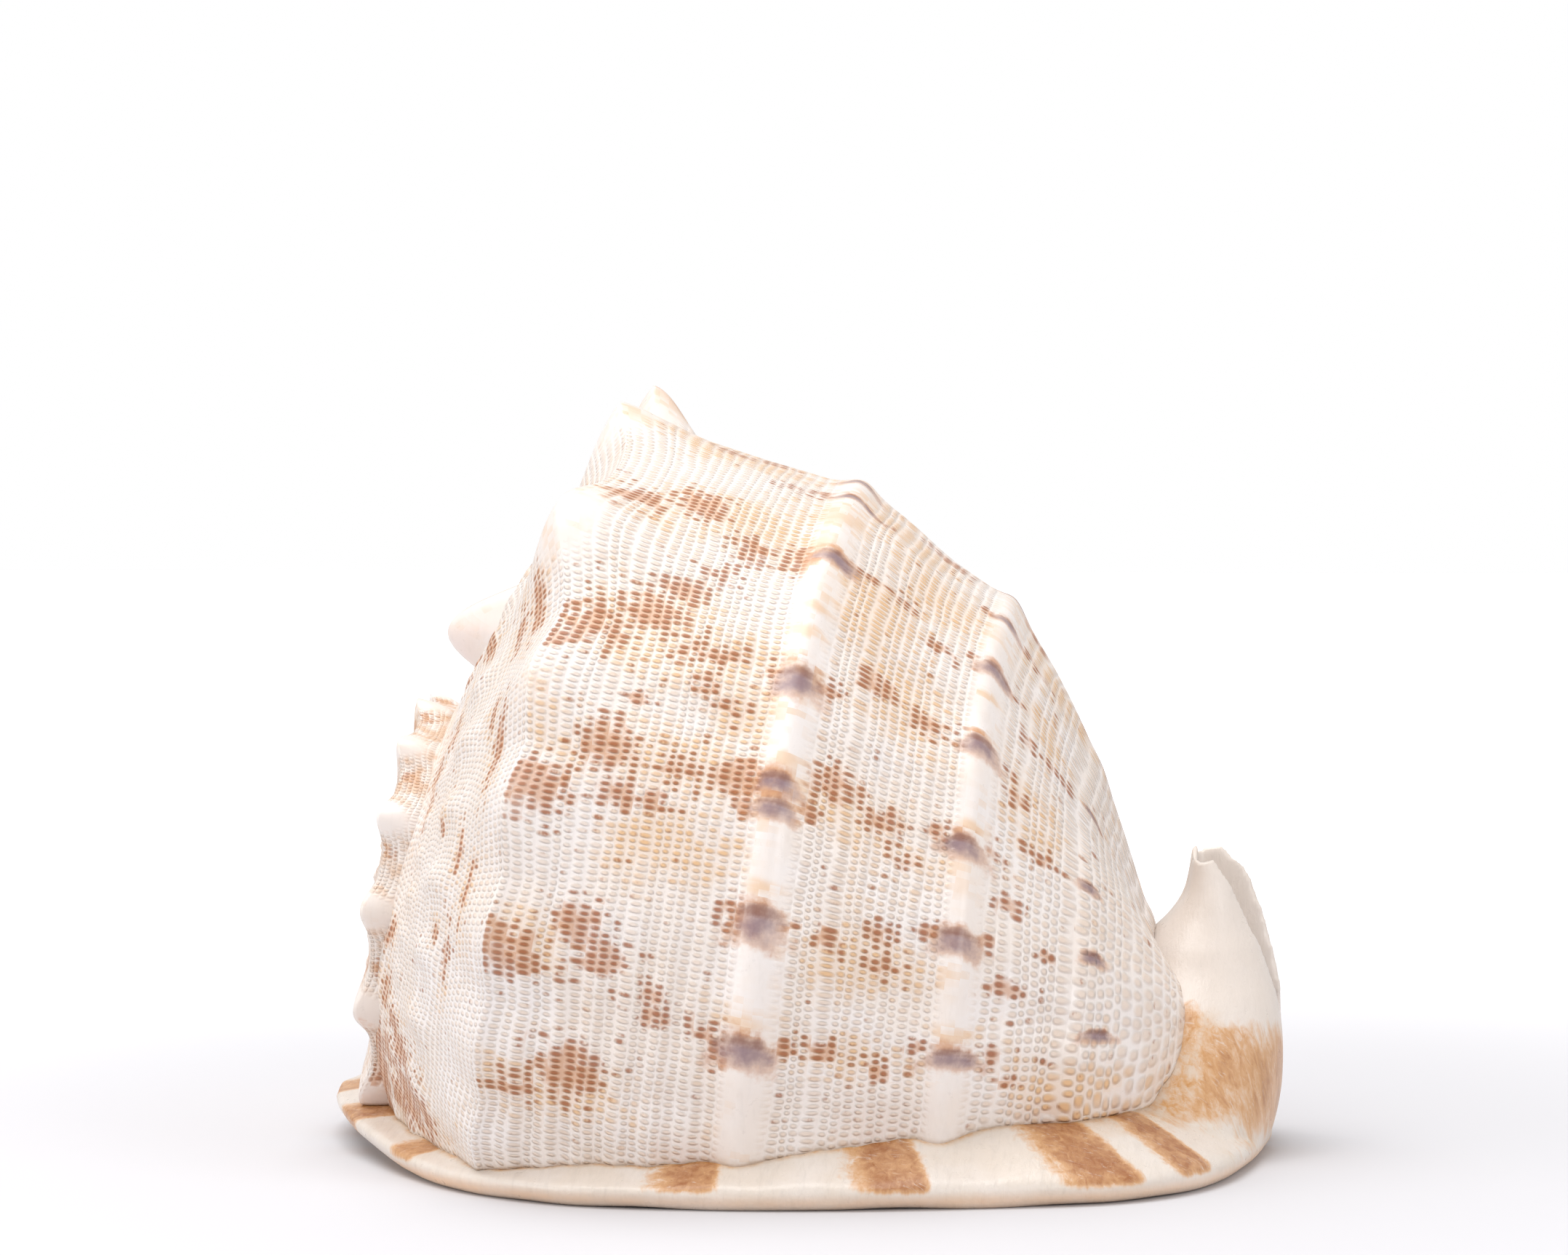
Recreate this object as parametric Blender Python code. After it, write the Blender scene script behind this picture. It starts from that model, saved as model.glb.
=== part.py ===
"""Helmet shell lying on its opening: spire toward -X, canal toward +X, outer lip on the -Y side.

The whorls are laid out along a coiling axis. A growth angle of 0 is straight up and grows toward -Y.
Distances along the axis are measured from the spire toward the canal.
"""

import math

import bmesh
import bpy
import numpy as np

MM = 0.001

# Coiling axis
APEX = (-76.9, 9.7, 49.3)
AXIS_TILT = 10.4
TURN_GROWTH = 2.85
SHOULDER_RADIUS = 86.0
LIP_RADIUS = ((0, 86.0), (45, 87.0), (90, 88.0), (121, 89.5), (180, 91.0))
SHOULDER_PINCH = ((60, 0.0), (90, 2.0), (115, 6.5), (180, 9.0))
FIRST_ANGLE = -840
LAST_ANGLE = 180
ANGLE_STEP = 5
BASE_REACH = 146.0
SUTURE_DROP = 0.17
SUTURE_WIDTH = 1.0
RAMP_COLUMNS = 5
SIDE_COLUMNS = 3

# Shoulder distance along the axis at each growth angle
SHOULDER_REACH = (
    (-840, 1.0), (-720, 1.2), (-540, 2.0), (-360, 4.0), (-270, 7.0), (-180, 13.0),
    (-90, 17.0), (-50, 21.5), (-20, 29.5), (0, 33.5), (45, 35.5), (90, 37.5), (125, 40.5), (180, 45.0),
)

# Flank below the shoulder: share of the way to the base, share of the shoulder radius
FLANK = (
    (0.0, 1.0), (0.06, 0.998), (0.15, 0.992), (0.22, 0.982), (0.30, 0.966), (0.36, 0.95),
    (0.42, 0.925), (0.52, 0.85), (0.64, 0.765), (0.70, 0.69), (0.767, 0.58), (0.825, 0.465),
    (0.863, 0.38), (0.918, 0.246), (0.954, 0.156), (0.985, 0.06), (1.0, 0.0),
)
LIP_FLANK = (
    (0.0, 1.0), (0.06, 0.998), (0.15, 0.99), (0.22, 0.98), (0.30, 0.965), (0.36, 0.95),
    (0.42, 0.93), (0.52, 0.875), (0.64, 0.81), (0.70, 0.77), (0.767, 0.715), (0.825, 0.66),
    (0.863, 0.615), (0.918, 0.52), (0.954, 0.44), (0.985, 0.33), (1.0, 0.0),
)
LIP_REACH = 154.0
FLANK_COLUMNS = (0.22, 0.29, 0.33, 0.36, 0.39, 0.44, 0.52, 0.60, 0.635, 0.67, 0.72, 0.78, 0.84, 0.89, 0.93, 0.965)
KEELS = ((0.36, 0.032, 2.2), (0.635, 0.026, 1.8))

# Horns on the shoulder: growth angle, reach outward, reach toward the spire, half width in degrees
HORNS = (
    (-168, 4.0, 6.0, 9), (-138, 6.0, 9.0, 10), (-110, 6.0, 12.0, 10), (-80, 4.0, 18.0, 10), (-52, -7.0, 28.0, 13),
    (-17, 16.0, 2.0, 10), (7, 5.0, 5.0, 8), (38, 5.5, 5.5, 8), (60, 4.0, 3.5, 6.5), (74, 3.7, 3.2, 6),
    (89, 3.4, 3.0, 5), (102, 3.0, 2.6, 5), (114, 2.6, 2.3, 5), (127, 2.2, 2.0, 5), (140, 2.0, 1.6, 5),
)
KNOB_SPACING = 24.0
KNOB_HEIGHT = 0.08

# Lip flange and shield: outline seen from above, as X and Y
OUTLINE = (
    (-85, 3), (-80, -15), (-72, -32), (-61, -50), (-47, -66), (-28, -76.5), (-4, -78),
    (18, -75.5), (39, -70), (59, -63), (71, -52), (78, -38), (82, -20), (84, -3), (84.5, 14),
    (80, 32), (64, 50), (40, 65), (12, 76), (-18, 79), (-46, 74), (-67, 61), (-79, 43), (-86, 22),
)
OUTLINE_POINTS = 72
RIM_RINGS = (
    (16.0, 2.6), (9.0, 0.0), (3.0, 0.0), (0.9, 0.9), (0.0, 2.6), (0.7, 4.2), (3.2, 5.8), (8.0, 8.4), (15.0, 12.0),
)
REAR_FLANGE = 0.45
CORNER_LIFT = 4.5
CUT_HEIGHT = 4.0

# Canal: height, first X, last X, first Y, last Y
CANAL = (
    (3.0, 18, 84.6, -44, 50), (9.0, 30, 86.2, -32, 44), (16.0, 40, 86.8, -22, 38), (24.0, 50, 86.9, -13, 32),
    (32.0, 58, 86.3, -5, 26.5), (40.0, 64.5, 85.0, 0.5, 21.5), (46.0, 69, 82.5, 3.5, 18), (50.5, 73, 79.5, 6, 15.5),
)
CANAL_SLIT = ((-4.0, 69.5, 96.0, 8.6, 11.6), (30.0, 70.5, 96.0, 8.2, 12.4), (60.0, 72.5, 96.0, 7.6, 14.0))

# Opening between the lip and the shield: X, Y and half width along its middle
SLIT = (
    (-70, -10, 2.2), (-62, -22, 4.5), (-48, -33, 6.5), (-28, -39, 7.6), (-4, -41, 8.2), (20, -38, 8.0),
    (42, -29, 6.8), (56, -16, 5.2), (66, -2, 3.8), (74, 7, 2.4), (80, 10.1, 1.6), (92, 10.1, 1.5),
)
SLIT_TOP = 27.0
TEETH = 9
TOOTH_HEIGHT = 1.5

# Hollow of the last whorl
WALL = 5.5
HOLLOW_ANGLES = tuple(range(-50, 121, 10))
HOLLOW_FLOOR = 14.0


def clear_scene():
    for item in list(bpy.data.objects):
        bpy.data.objects.remove(item, do_unlink=True)


def smooth(table, x):
    """Value of the table at x along a smooth curve through its points."""
    points = np.array(table, float)
    xs = points[:, 0]
    ys = points[:, 1]
    slopes = np.gradient(ys, xs)
    index = int(np.clip(np.searchsorted(xs, x) - 1, 0, len(xs) - 2))
    step = xs[index + 1] - xs[index]
    u = min(max((x - xs[index]) / step, 0.0), 1.0)
    start = ys[index] * (1 + 2 * u) * (1 - u) ** 2
    end = ys[index + 1] * u * u * (3 - 2 * u)
    bend = slopes[index] * step * u * (1 - u) ** 2 + slopes[index + 1] * step * u * u * (u - 1)
    return float(start + end + bend)


def wide_radius(angle):
    if angle < 0:
        return SHOULDER_RADIUS * TURN_GROWTH ** (angle / 360)
    return smooth(LIP_RADIUS, angle)


def pinch(angle):
    """The shoulder draws in toward the lip."""
    if angle <= SHOULDER_PINCH[0][0]:
        return 0.0
    return smooth(SHOULDER_PINCH, angle)


def shoulder(angle):
    """Radius and reach of the shoulder."""
    radius = wide_radius(angle) - pinch(angle)
    return radius, smooth(SHOULDER_REACH, angle)


def next_suture(angle):
    radius, reach = shoulder(angle)
    return radius * SUTURE_WIDTH, reach + SUTURE_DROP * radius


def place(radius, angle, reach):
    """World position in metres of a point in the coiling frame."""
    tilt = math.radians(AXIS_TILT)
    turn = math.radians(angle)
    up = radius * math.cos(turn)
    near = radius * math.sin(turn)
    x = APEX[0] + reach * math.cos(tilt) + up * math.sin(tilt)
    y = APEX[1] - near
    z = APEX[2] - reach * math.sin(tilt) + up * math.cos(tilt)
    return x * MM, y * MM, z * MM


def horn(angle):
    """How far the shoulder stands outward and toward the spire at this growth angle."""
    out = 0.0
    back = 0.0
    best = 0.0
    for at, outward, backward, width in HORNS:
        share = math.exp(-1.2 * ((angle - at) / width) ** 2)
        size = share * math.hypot(outward, backward)
        if size > best:
            best = size
            out = outward * share
            back = backward * share
    if angle < -178:
        wave = math.cos(math.pi * (angle + 192) / KNOB_SPACING) ** 4
        size = KNOB_HEIGHT * shoulder(angle)[0] * wave
        if size > best:
            out = 0.75 * size
            back = 0.65 * size
    return out, back


def ramp_point(angle, share):
    """Point between the suture at 0 and the shoulder at 1."""
    start_radius, start_reach = next_suture(angle - 360)
    end_radius, end_reach = shoulder(angle)
    sag = 0.05 * (end_radius - start_radius) * math.sin(math.pi * share)
    out, back = horn(angle)
    rise = math.exp(-((1 - share) / 0.25) ** 2)
    radius = start_radius + (end_radius - start_radius) * share + out * rise
    reach = start_reach + (end_reach - start_reach) * share - sag - back * rise
    return place(radius, angle, reach)


def flank_lift(angle, share):
    later = max(angle, 0) / 90
    return 0.014 * later * later * math.sin(math.pi * share)


def side_point(angle, share):
    """Point between the shoulder at 0 and the next suture at 1."""
    radius, reach = shoulder(angle)
    depth = SUTURE_DROP * radius * share
    out, back = horn(angle)
    rise = math.exp(-(depth / (BASE_REACH - reach) / 0.09) ** 2) * (1 - share ** 3)
    return place(radius + out * rise, angle, reach + depth - back * rise)


def lip_share(angle):
    """0 on the older flank, 1 beside the lip."""
    share = min(max((angle - 25) / 75, 0.0), 1.0)
    return share * share * (3 - 2 * share)


def flank_radius(angle, share):
    lip = lip_share(angle)
    radius = wide_radius(angle) * (smooth(FLANK, share) * (1 - lip) + smooth(LIP_FLANK, share) * lip)
    radius -= pinch(angle) * math.exp(-(share / 0.16) ** 2)
    for at, width, height in KEELS:
        radius += height * math.exp(-((share - at) / width) ** 2)
    return radius


def flank_reach(angle, share):
    reach = shoulder(angle)[1]
    base = BASE_REACH + (LIP_REACH - BASE_REACH) * lip_share(angle)
    return reach + (base - reach) * (share + flank_lift(angle, share))


def flank_point(angle, share):
    return place(flank_radius(angle, share), angle, flank_reach(angle, share))


def add_object(name, mesh_data, helper=True):
    mesh = bpy.data.meshes.new(name)
    mesh_data.to_mesh(mesh)
    mesh_data.free()
    item = bpy.data.objects.new(name, mesh)
    bpy.context.collection.objects.link(item)
    if helper:
        item.hide_render = True
        item.display_type = "WIRE"
    return item


def close_up(mesh_data):
    """Cut every face into triangles and turn all of them outward."""
    bmesh.ops.triangulate(mesh_data, faces=mesh_data.faces[:])
    bmesh.ops.recalc_face_normals(mesh_data, faces=mesh_data.faces[:])


def make_whorls():
    """One closed body whose turns share their sutures."""
    mesh = bmesh.new()
    angles = list(range(FIRST_ANGLE, LAST_ANGLE + 1, ANGLE_STEP))
    turn = 360 // ANGLE_STEP
    last = len(angles) - 1
    inner = []
    for row, angle in enumerate(angles):
        line = [mesh.verts.new(ramp_point(angle, k / RAMP_COLUMNS)) for k in range(RAMP_COLUMNS + 1)]
        line += [mesh.verts.new(side_point(angle, k / SIDE_COLUMNS)) for k in range(1, SIDE_COLUMNS)]
        inner.append(line)
    ends = []
    for row, angle in enumerate(angles):
        if row + turn <= last:
            ends.append(inner[row + turn][0])
        else:
            ends.append(mesh.verts.new(side_point(angle, 1.0)))
    rows = [line + [end] for line, end in zip(inner, ends)]
    for row in range(last):
        for k in range(len(rows[0]) - 1):
            mesh.faces.new((rows[row][k], rows[row + 1][k], rows[row + 1][k + 1], rows[row][k + 1]))
    # apex
    tip = mesh.verts.new(place(0.0, 0.0, SHOULDER_REACH[0][1] - 1.0))
    loop = [rows[k][0] for k in range(turn + 1)] + rows[0][-2:0:-1]
    for k, vert in enumerate(loop):
        mesh.faces.new((tip, loop[(k + 1) % len(loop)], vert))
    # last turn, down to the base
    base = mesh.verts.new(place(0.0, 0.0, BASE_REACH))
    start = last - turn
    flank = []
    for row in range(start, last + 1):
        flank.append([rows[row][-1]] + [mesh.verts.new(flank_point(angles[row], f)) for f in FLANK_COLUMNS])
    for row in range(turn):
        for k in range(len(FLANK_COLUMNS)):
            mesh.faces.new((flank[row][k], flank[row + 1][k], flank[row + 1][k + 1], flank[row][k + 1]))
        mesh.faces.new((flank[row][-1], flank[row + 1][-1], base))
    # step from the lip back to the turn before it
    edge = rows[last][:-1] + flank[turn] + [base] + flank[0][:0:-1]
    mesh.faces.new(edge)
    close_up(mesh)
    return add_object("whorls", mesh, helper=False)


def closed_curve(points, count):
    """Evenly spaced points along a smooth closed curve."""
    corners = np.array(points, float)
    dense = []
    total = len(corners)
    for k in range(total):
        a, b, c, d = (corners[(k + j) % total] for j in (-1, 0, 1, 2))
        for u in np.linspace(0, 1, 12, endpoint=False):
            dense.append(0.5 * (2 * b + (c - a) * u + (2 * a - 5 * b + 4 * c - d) * u ** 2 + (3 * b - a - 3 * c + d) * u ** 3))
    dense = np.array(dense + [dense[0]])
    lengths = np.concatenate([[0], np.cumsum(np.linalg.norm(np.diff(dense, axis=0), axis=1))])
    targets = np.linspace(0, lengths[-1], count, endpoint=False)
    return np.stack([np.interp(targets, lengths, dense[:, 0]), np.interp(targets, lengths, dense[:, 1])], axis=1)


def inset(points, distance):
    """The closed curve moved inward by a distance."""
    along = np.roll(points, -1, axis=0) - np.roll(points, 1, axis=0)
    along /= np.linalg.norm(along, axis=1)[:, None]
    inward = np.stack([-along[:, 1], along[:, 0]], axis=1)
    return points + inward * distance


def corner_lift(x, y):
    """The rear corner of the lip stands clear of the table."""
    share = min(max((-52 - x) / 34, 0.0), 1.0)
    return CORNER_LIFT * share * share * (3 - 2 * share)


def flange_height(height, x):
    """The flange is lower at its rear."""
    share = min(max((x + 40) / 60, 0.0), 1.0)
    scale = REAR_FLANGE + (1 - REAR_FLANGE) * share * share * (3 - 2 * share)
    return min(height, 3.0) + max(height - 3.0, 0.0) * scale


def stack_rings(mesh, rings):
    """Walls between the rings and a fan over each end."""
    for low, high in zip(rings, rings[1:]):
        for k in range(len(low)):
            j = (k + 1) % len(low)
            mesh.faces.new((low[k], low[j], high[j], high[k]))
    for ring in (rings[0], rings[-1]):
        middle = mesh.verts.new(sum((vert.co for vert in ring), ring[0].co * 0) / len(ring))
        for k in range(len(ring)):
            mesh.faces.new((middle, ring[k], ring[(k + 1) % len(ring)]))


def make_plate():
    mesh = bmesh.new()
    outline = closed_curve(OUTLINE, OUTLINE_POINTS)
    rings = []
    for distance, height in RIM_RINGS:
        ring = []
        for x, y in inset(outline, distance):
            z = flange_height(height, x) + corner_lift(x, y)
            ring.append(mesh.verts.new((x * MM, y * MM, z * MM)))
        rings.append(ring)
    stack_rings(mesh, rings)
    close_up(mesh)
    return add_object("plate", mesh)


def make_canal():
    mesh = bmesh.new()
    rings = []
    for height, x0, x1, y0, y1 in CANAL:
        ring = []
        for k in range(24):
            turn = 2 * math.pi * k / 24
            x = (x0 + x1) / 2 + (x1 - x0) / 2 * math.cos(turn)
            y = (y0 + y1) / 2 + (y1 - y0) / 2 * math.sin(turn)
            ring.append(mesh.verts.new((x * MM, y * MM, height * MM)))
        rings.append(ring)
    stack_rings(mesh, rings)
    close_up(mesh)
    return add_object("canal", mesh)


def make_canal_slit():
    mesh = bmesh.new()
    rings = []
    for height, x0, x1, y0, y1 in CANAL_SLIT:
        corners = ((x0, y0), (x1, y0), (x1, y1), (x0, y1))
        rings.append([mesh.verts.new((x * MM, y * MM, height * MM)) for x, y in corners])
    stack_rings(mesh, rings)
    close_up(mesh)
    return add_object("canal_slit", mesh)


def make_slit():
    """Long opening with teeth on its lip side and folds on its shield side."""
    mesh = bmesh.new()
    middle = np.array(SLIT, float)
    lengths = np.concatenate([[0], np.cumsum(np.linalg.norm(np.diff(middle[:, :2], axis=0), axis=1))])
    count = 8 * TEETH + 1
    targets = np.linspace(0, lengths[-1], count)
    rings = []
    for height, toothed in ((-4.0, 0.6), (2.2, 1.0), (6.0, 0.5), (SLIT_TOP, 0.0)):
        near = []
        far = []
        for k, at in enumerate(targets):
            x = smooth(np.stack([lengths, middle[:, 0]], axis=1), at)
            y = smooth(np.stack([lengths, middle[:, 1]], axis=1), at)
            half = smooth(np.stack([lengths, middle[:, 2]], axis=1), at)
            ahead = min(at + 1.0, lengths[-1])
            behind = max(at - 1.0, 0.0)
            dx = smooth(np.stack([lengths, middle[:, 0]], axis=1), ahead) - smooth(np.stack([lengths, middle[:, 0]], axis=1), behind)
            dy = smooth(np.stack([lengths, middle[:, 1]], axis=1), ahead) - smooth(np.stack([lengths, middle[:, 1]], axis=1), behind)
            size = math.hypot(dx, dy)
            nx = dy / size
            ny = -dx / size
            share = k / (count - 1)
            fade = max(0.0, math.sin(math.pi * min(share / 0.8, 1.0)))
            bite = toothed * fade * TOOTH_HEIGHT * (0.5 - 0.5 * math.cos(2 * math.pi * k / 8))
            fold = toothed * fade * TOOTH_HEIGHT * 0.7 * (0.5 + 0.5 * math.cos(2 * math.pi * k / 8))
            near.append((x + nx * (half - bite), y + ny * (half - bite)))
            far.append((x - nx * (half - fold), y - ny * (half - fold)))
        outline = near + far[::-1]
        rings.append([mesh.verts.new((x * MM, y * MM, height * MM)) for x, y in outline])
    for low, high in zip(rings, rings[1:]):
        for k in range(len(low)):
            j = (k + 1) % len(low)
            mesh.faces.new((low[k], low[j], high[j], high[k]))
    for ring in (rings[0], rings[-1]):
        for k in range(count - 1):
            mesh.faces.new((ring[k], ring[k + 1], ring[2 * count - 2 - k], ring[2 * count - 1 - k]))
    close_up(mesh)
    return add_object("slit", mesh)


def hollow_section(angle):
    """Outline of the hollow in the half plane of this angle, as radius and reach."""
    radius, reach = shoulder(angle)
    before, before_reach = shoulder(angle - 360)
    outer = [(flank_radius(angle, f) - WALL, flank_reach(angle, f)) for f in (0.08, 0.17, 0.26, 0.36, 0.46, 0.56, 0.66, 0.74, 0.80)]
    inner = []
    for f, share in ((0.80, 0.30), (0.66, 0.45), (0.50, 0.60), (0.34, 0.85), (0.18, 1.0), (0.09, 1.05)):
        inner.append((max(7.0, before * share + 5.0), flank_reach(angle, f)))
    roof = [(0.55 * radius + 0.45 * (before + 5.0), reach + 5.5)]
    section = outer + inner + roof
    shrink = 1.0 if angle > 0 else 1.0 + 0.45 * angle / 50
    middle = np.mean(section, axis=0)
    return [(middle[0] + (r - middle[0]) * shrink, middle[1] + (z - middle[1]) * shrink) for r, z in section]


def make_hollow():
    mesh = bmesh.new()
    rings = []
    for angle in HOLLOW_ANGLES:
        ring = []
        for r, z in hollow_section(angle):
            x, y, height = place(r, angle, z)
            ring.append(mesh.verts.new((x, y, max(height, HOLLOW_FLOOR * MM))))
        rings.append(ring)
    stack_rings(mesh, rings)
    close_up(mesh)
    return add_object("hollow", mesh)


def make_under():
    """Block that takes away what would reach below the lip."""
    mesh = bmesh.new()
    bmesh.ops.create_cube(mesh, size=1.0)
    for vert in mesh.verts:
        vert.co.x *= 0.4
        vert.co.y *= 0.4
        vert.co.z = (vert.co.z - 0.5) * 0.2 + CUT_HEIGHT * MM
    return add_object("under", mesh)


def combine(target, other, operation):
    modifier = target.modifiers.new(other.name, "BOOLEAN")
    modifier.object = other
    modifier.operation = operation
    modifier.solver = "EXACT"


def shell_material():
    material = bpy.data.materials.new("shell")
    material.use_nodes = True
    shader = material.node_tree.nodes["Principled BSDF"]
    shader.inputs["Base Color"].default_value = (0.86, 0.77, 0.66, 1)
    shader.inputs["Roughness"].default_value = 0.35
    return material


clear_scene()
shell = make_whorls()
combine(shell, make_under(), "DIFFERENCE")
combine(shell, make_plate(), "UNION")
combine(shell, make_canal(), "UNION")
combine(shell, make_hollow(), "DIFFERENCE")
combine(shell, make_slit(), "DIFFERENCE")
combine(shell, make_canal_slit(), "DIFFERENCE")
shell.name = "helmet_shell"
shell.data.materials.append(shell_material())
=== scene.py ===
import math

import bpy
import numpy as np
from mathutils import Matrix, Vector
from mathutils.bvhtree import BVHTree
from mathutils.kdtree import KDTree


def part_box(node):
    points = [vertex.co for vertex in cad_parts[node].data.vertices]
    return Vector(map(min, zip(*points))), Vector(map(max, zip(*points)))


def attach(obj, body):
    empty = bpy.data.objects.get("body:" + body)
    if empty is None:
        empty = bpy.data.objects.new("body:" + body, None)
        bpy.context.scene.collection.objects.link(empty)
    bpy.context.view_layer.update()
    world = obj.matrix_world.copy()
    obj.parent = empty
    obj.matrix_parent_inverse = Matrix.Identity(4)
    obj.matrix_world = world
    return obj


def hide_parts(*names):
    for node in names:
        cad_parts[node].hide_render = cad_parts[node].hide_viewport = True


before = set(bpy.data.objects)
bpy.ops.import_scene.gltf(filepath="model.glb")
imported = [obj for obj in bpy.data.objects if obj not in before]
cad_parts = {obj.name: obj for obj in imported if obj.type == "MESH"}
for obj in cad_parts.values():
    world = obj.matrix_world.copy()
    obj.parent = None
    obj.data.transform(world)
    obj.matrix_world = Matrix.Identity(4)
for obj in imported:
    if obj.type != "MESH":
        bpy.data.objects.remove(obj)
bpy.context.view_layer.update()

mm = 0.001
boxLow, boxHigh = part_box("helmet_shell")
# The curves below are laid out in millimetres about this middle of the outline.
outlineMiddle = (0.216, 0.603)
shift = np.array([
    (boxLow[0] + boxHigh[0]) / 2 - outlineMiddle[0] * mm,
    (boxLow[1] + boxHigh[1]) / 2 - outlineMiddle[1] * mm,
    boxLow[2],
])
print("frame ready, box", [round(v, 4) for v in boxLow], [round(v, 4) for v in boxHigh])

# Growth angles are in degrees: 0 is the top of the last turn, 90 its near side, 180 the lip.
coil = {
    "apex": (-76.9, 9.7, 49.3),
    "axisTilt": 10.4,
    "turnGrowth": 2.85,
    "shoulderRadius": 86.0,
    "lipRadius": ((0, 86.0), (45, 87.0), (90, 88.0), (121, 89.5), (180, 91.0)),
    "shoulderPinch": ((60, 0.0), (90, 2.0), (115, 6.5), (180, 9.0)),
    "shoulderReach": (
        (-1800, -1.2), (-1380, -0.6), (-1080, 0.3), (-840, 1.0), (-720, 1.2), (-540, 2.0), (-360, 4.0),
        (-270, 7.0), (-180, 13.0), (-90, 17.0), (-50, 21.5), (-20, 29.5), (0, 33.5), (45, 35.5), (90, 37.5),
        (125, 40.5), (180, 45.0),
    ),
    "sutureDrop": 0.17,
    "baseReach": 146.0,
    "lipReach": 154.0,
    "flank": (
        (0.0, 1.0), (0.06, 0.998), (0.15, 0.992), (0.22, 0.982), (0.30, 0.966), (0.36, 0.95), (0.42, 0.925),
        (0.52, 0.85), (0.64, 0.765), (0.70, 0.69), (0.767, 0.58), (0.825, 0.465), (0.863, 0.38), (0.918, 0.246),
        (0.954, 0.156), (0.985, 0.06), (1.0, 0.0),
    ),
    "lipFlank": (
        (0.0, 1.0), (0.06, 0.998), (0.15, 0.99), (0.22, 0.98), (0.30, 0.965), (0.36, 0.95), (0.42, 0.93),
        (0.52, 0.875), (0.64, 0.81), (0.70, 0.77), (0.767, 0.715), (0.825, 0.66), (0.863, 0.61), (0.918, 0.505),
        (0.954, 0.40), (0.985, 0.25), (1.0, 0.0),
    ),
    # share of the flank, half width, height
    "keels": ((0.36, 0.032, 2.2), (0.635, 0.026, 1.8)),
}


def easeTable(table, x):
    # smooth curve through a table of pairs
    points = np.array(table, float)
    xs, ys = points[:, 0], points[:, 1]
    slopes = np.gradient(ys, xs)
    x = np.asarray(x, float)
    index = np.clip(np.searchsorted(xs, x) - 1, 0, len(xs) - 2)
    step = xs[index + 1] - xs[index]
    u = np.clip((x - xs[index]) / step, 0, 1)
    held = ys[index] * (1 + 2 * u) * (1 - u) ** 2 + ys[index + 1] * u * u * (3 - 2 * u)
    return held + slopes[index] * step * u * (1 - u) ** 2 + slopes[index + 1] * step * u * u * (u - 1)


def easeBetween(x, low, high):
    share = np.clip((np.asarray(x, float) - low) / (high - low), 0, 1)
    return share * share * (3 - 2 * share)


def coilRadius(angle):
    early = coil["shoulderRadius"] * coil["turnGrowth"] ** (np.minimum(angle, 0) / 360)
    return np.where(angle < 0, early, easeTable(coil["lipRadius"], np.maximum(angle, 0)))


def pinchAt(angle):
    return np.where(angle <= 60, 0, easeTable(coil["shoulderPinch"], np.maximum(angle, 60)))


def shoulderAt(angle):
    return coilRadius(angle) - pinchAt(angle), easeTable(coil["shoulderReach"], angle)


def placeOnCoil(radius, angle, reach):
    tilt, turn = math.radians(coil["axisTilt"]), np.radians(angle)
    up, near = radius * np.cos(turn), radius * np.sin(turn)
    x = coil["apex"][0] + reach * math.cos(tilt) + up * math.sin(tilt)
    y = coil["apex"][1] - near
    z = coil["apex"][2] - reach * math.sin(tilt) + up * math.cos(tilt)
    return np.stack([x, y, z], axis=-1)


def lipShare(angle):
    return easeBetween(angle, 25, 100)


def flankRadius(angle, share):
    lip = lipShare(angle)
    radius = coilRadius(angle) * (
        easeTable(coil["flank"], share) * (1 - lip) + easeTable(coil["lipFlank"], share) * lip)
    radius = radius - pinchAt(angle) * np.exp(-(share / 0.16) ** 2)
    for at, width, height in coil["keels"]:
        radius = radius + height * np.exp(-((share - at) / width) ** 2)
    return radius


def flankReach(angle, share):
    reach = shoulderAt(angle)[1]
    base = coil["baseReach"] + (coil["lipReach"] - coil["baseReach"]) * lipShare(angle)
    later = np.maximum(angle, 0) / 90
    return reach + (base - reach) * (share + 0.014 * later * later * np.sin(np.pi * share))


def ripple(u, v, seed, wave, count=7):
    # soft unevenness between about -1 and 1
    rng = np.random.default_rng(seed)
    total = 0
    for _ in range(count):
        heading = rng.uniform(0, 2 * math.pi)
        length = wave * rng.uniform(0.6, 1.8)
        total = total + np.sin(
            2 * math.pi * (u * math.cos(heading) + v * math.sin(heading)) / length + rng.uniform(0, 6.28))
    return total / math.sqrt(count) / 1.4


def buildMesh(name, points, quads, triangles=()):
    # points in millimetres
    quads = np.asarray(quads, np.int32).reshape(-1, 4)
    triangles = np.asarray(triangles, np.int32).reshape(-1, 3)
    corners = np.concatenate([quads.ravel(), triangles.ravel()])
    sizes = np.concatenate([np.full(len(quads), 4), np.full(len(triangles), 3)]).astype(np.int32)
    mesh = bpy.data.meshes.new(name)
    mesh.vertices.add(len(points))
    mesh.vertices.foreach_set("co", (np.asarray(points) * mm + shift).astype(np.float32).ravel())
    mesh.loops.add(len(corners))
    mesh.loops.foreach_set("vertex_index", corners.astype(np.int32))
    mesh.polygons.add(len(sizes))
    mesh.polygons.foreach_set("loop_start", (np.cumsum(sizes) - sizes).astype(np.int32))
    mesh.polygons.foreach_set("use_smooth", np.ones(len(sizes), bool))
    mesh.update(calc_edges=True)
    mesh.validate()
    return mesh


def addPiece(name, mesh):
    piece = bpy.data.objects.new(name, mesh)
    bpy.context.scene.collection.objects.link(piece)
    return piece


def paintField(mesh, name, values):
    layer = mesh.attributes.new(name, "FLOAT", "POINT")
    layer.data.foreach_set("value", np.asarray(values, np.float32))


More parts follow.
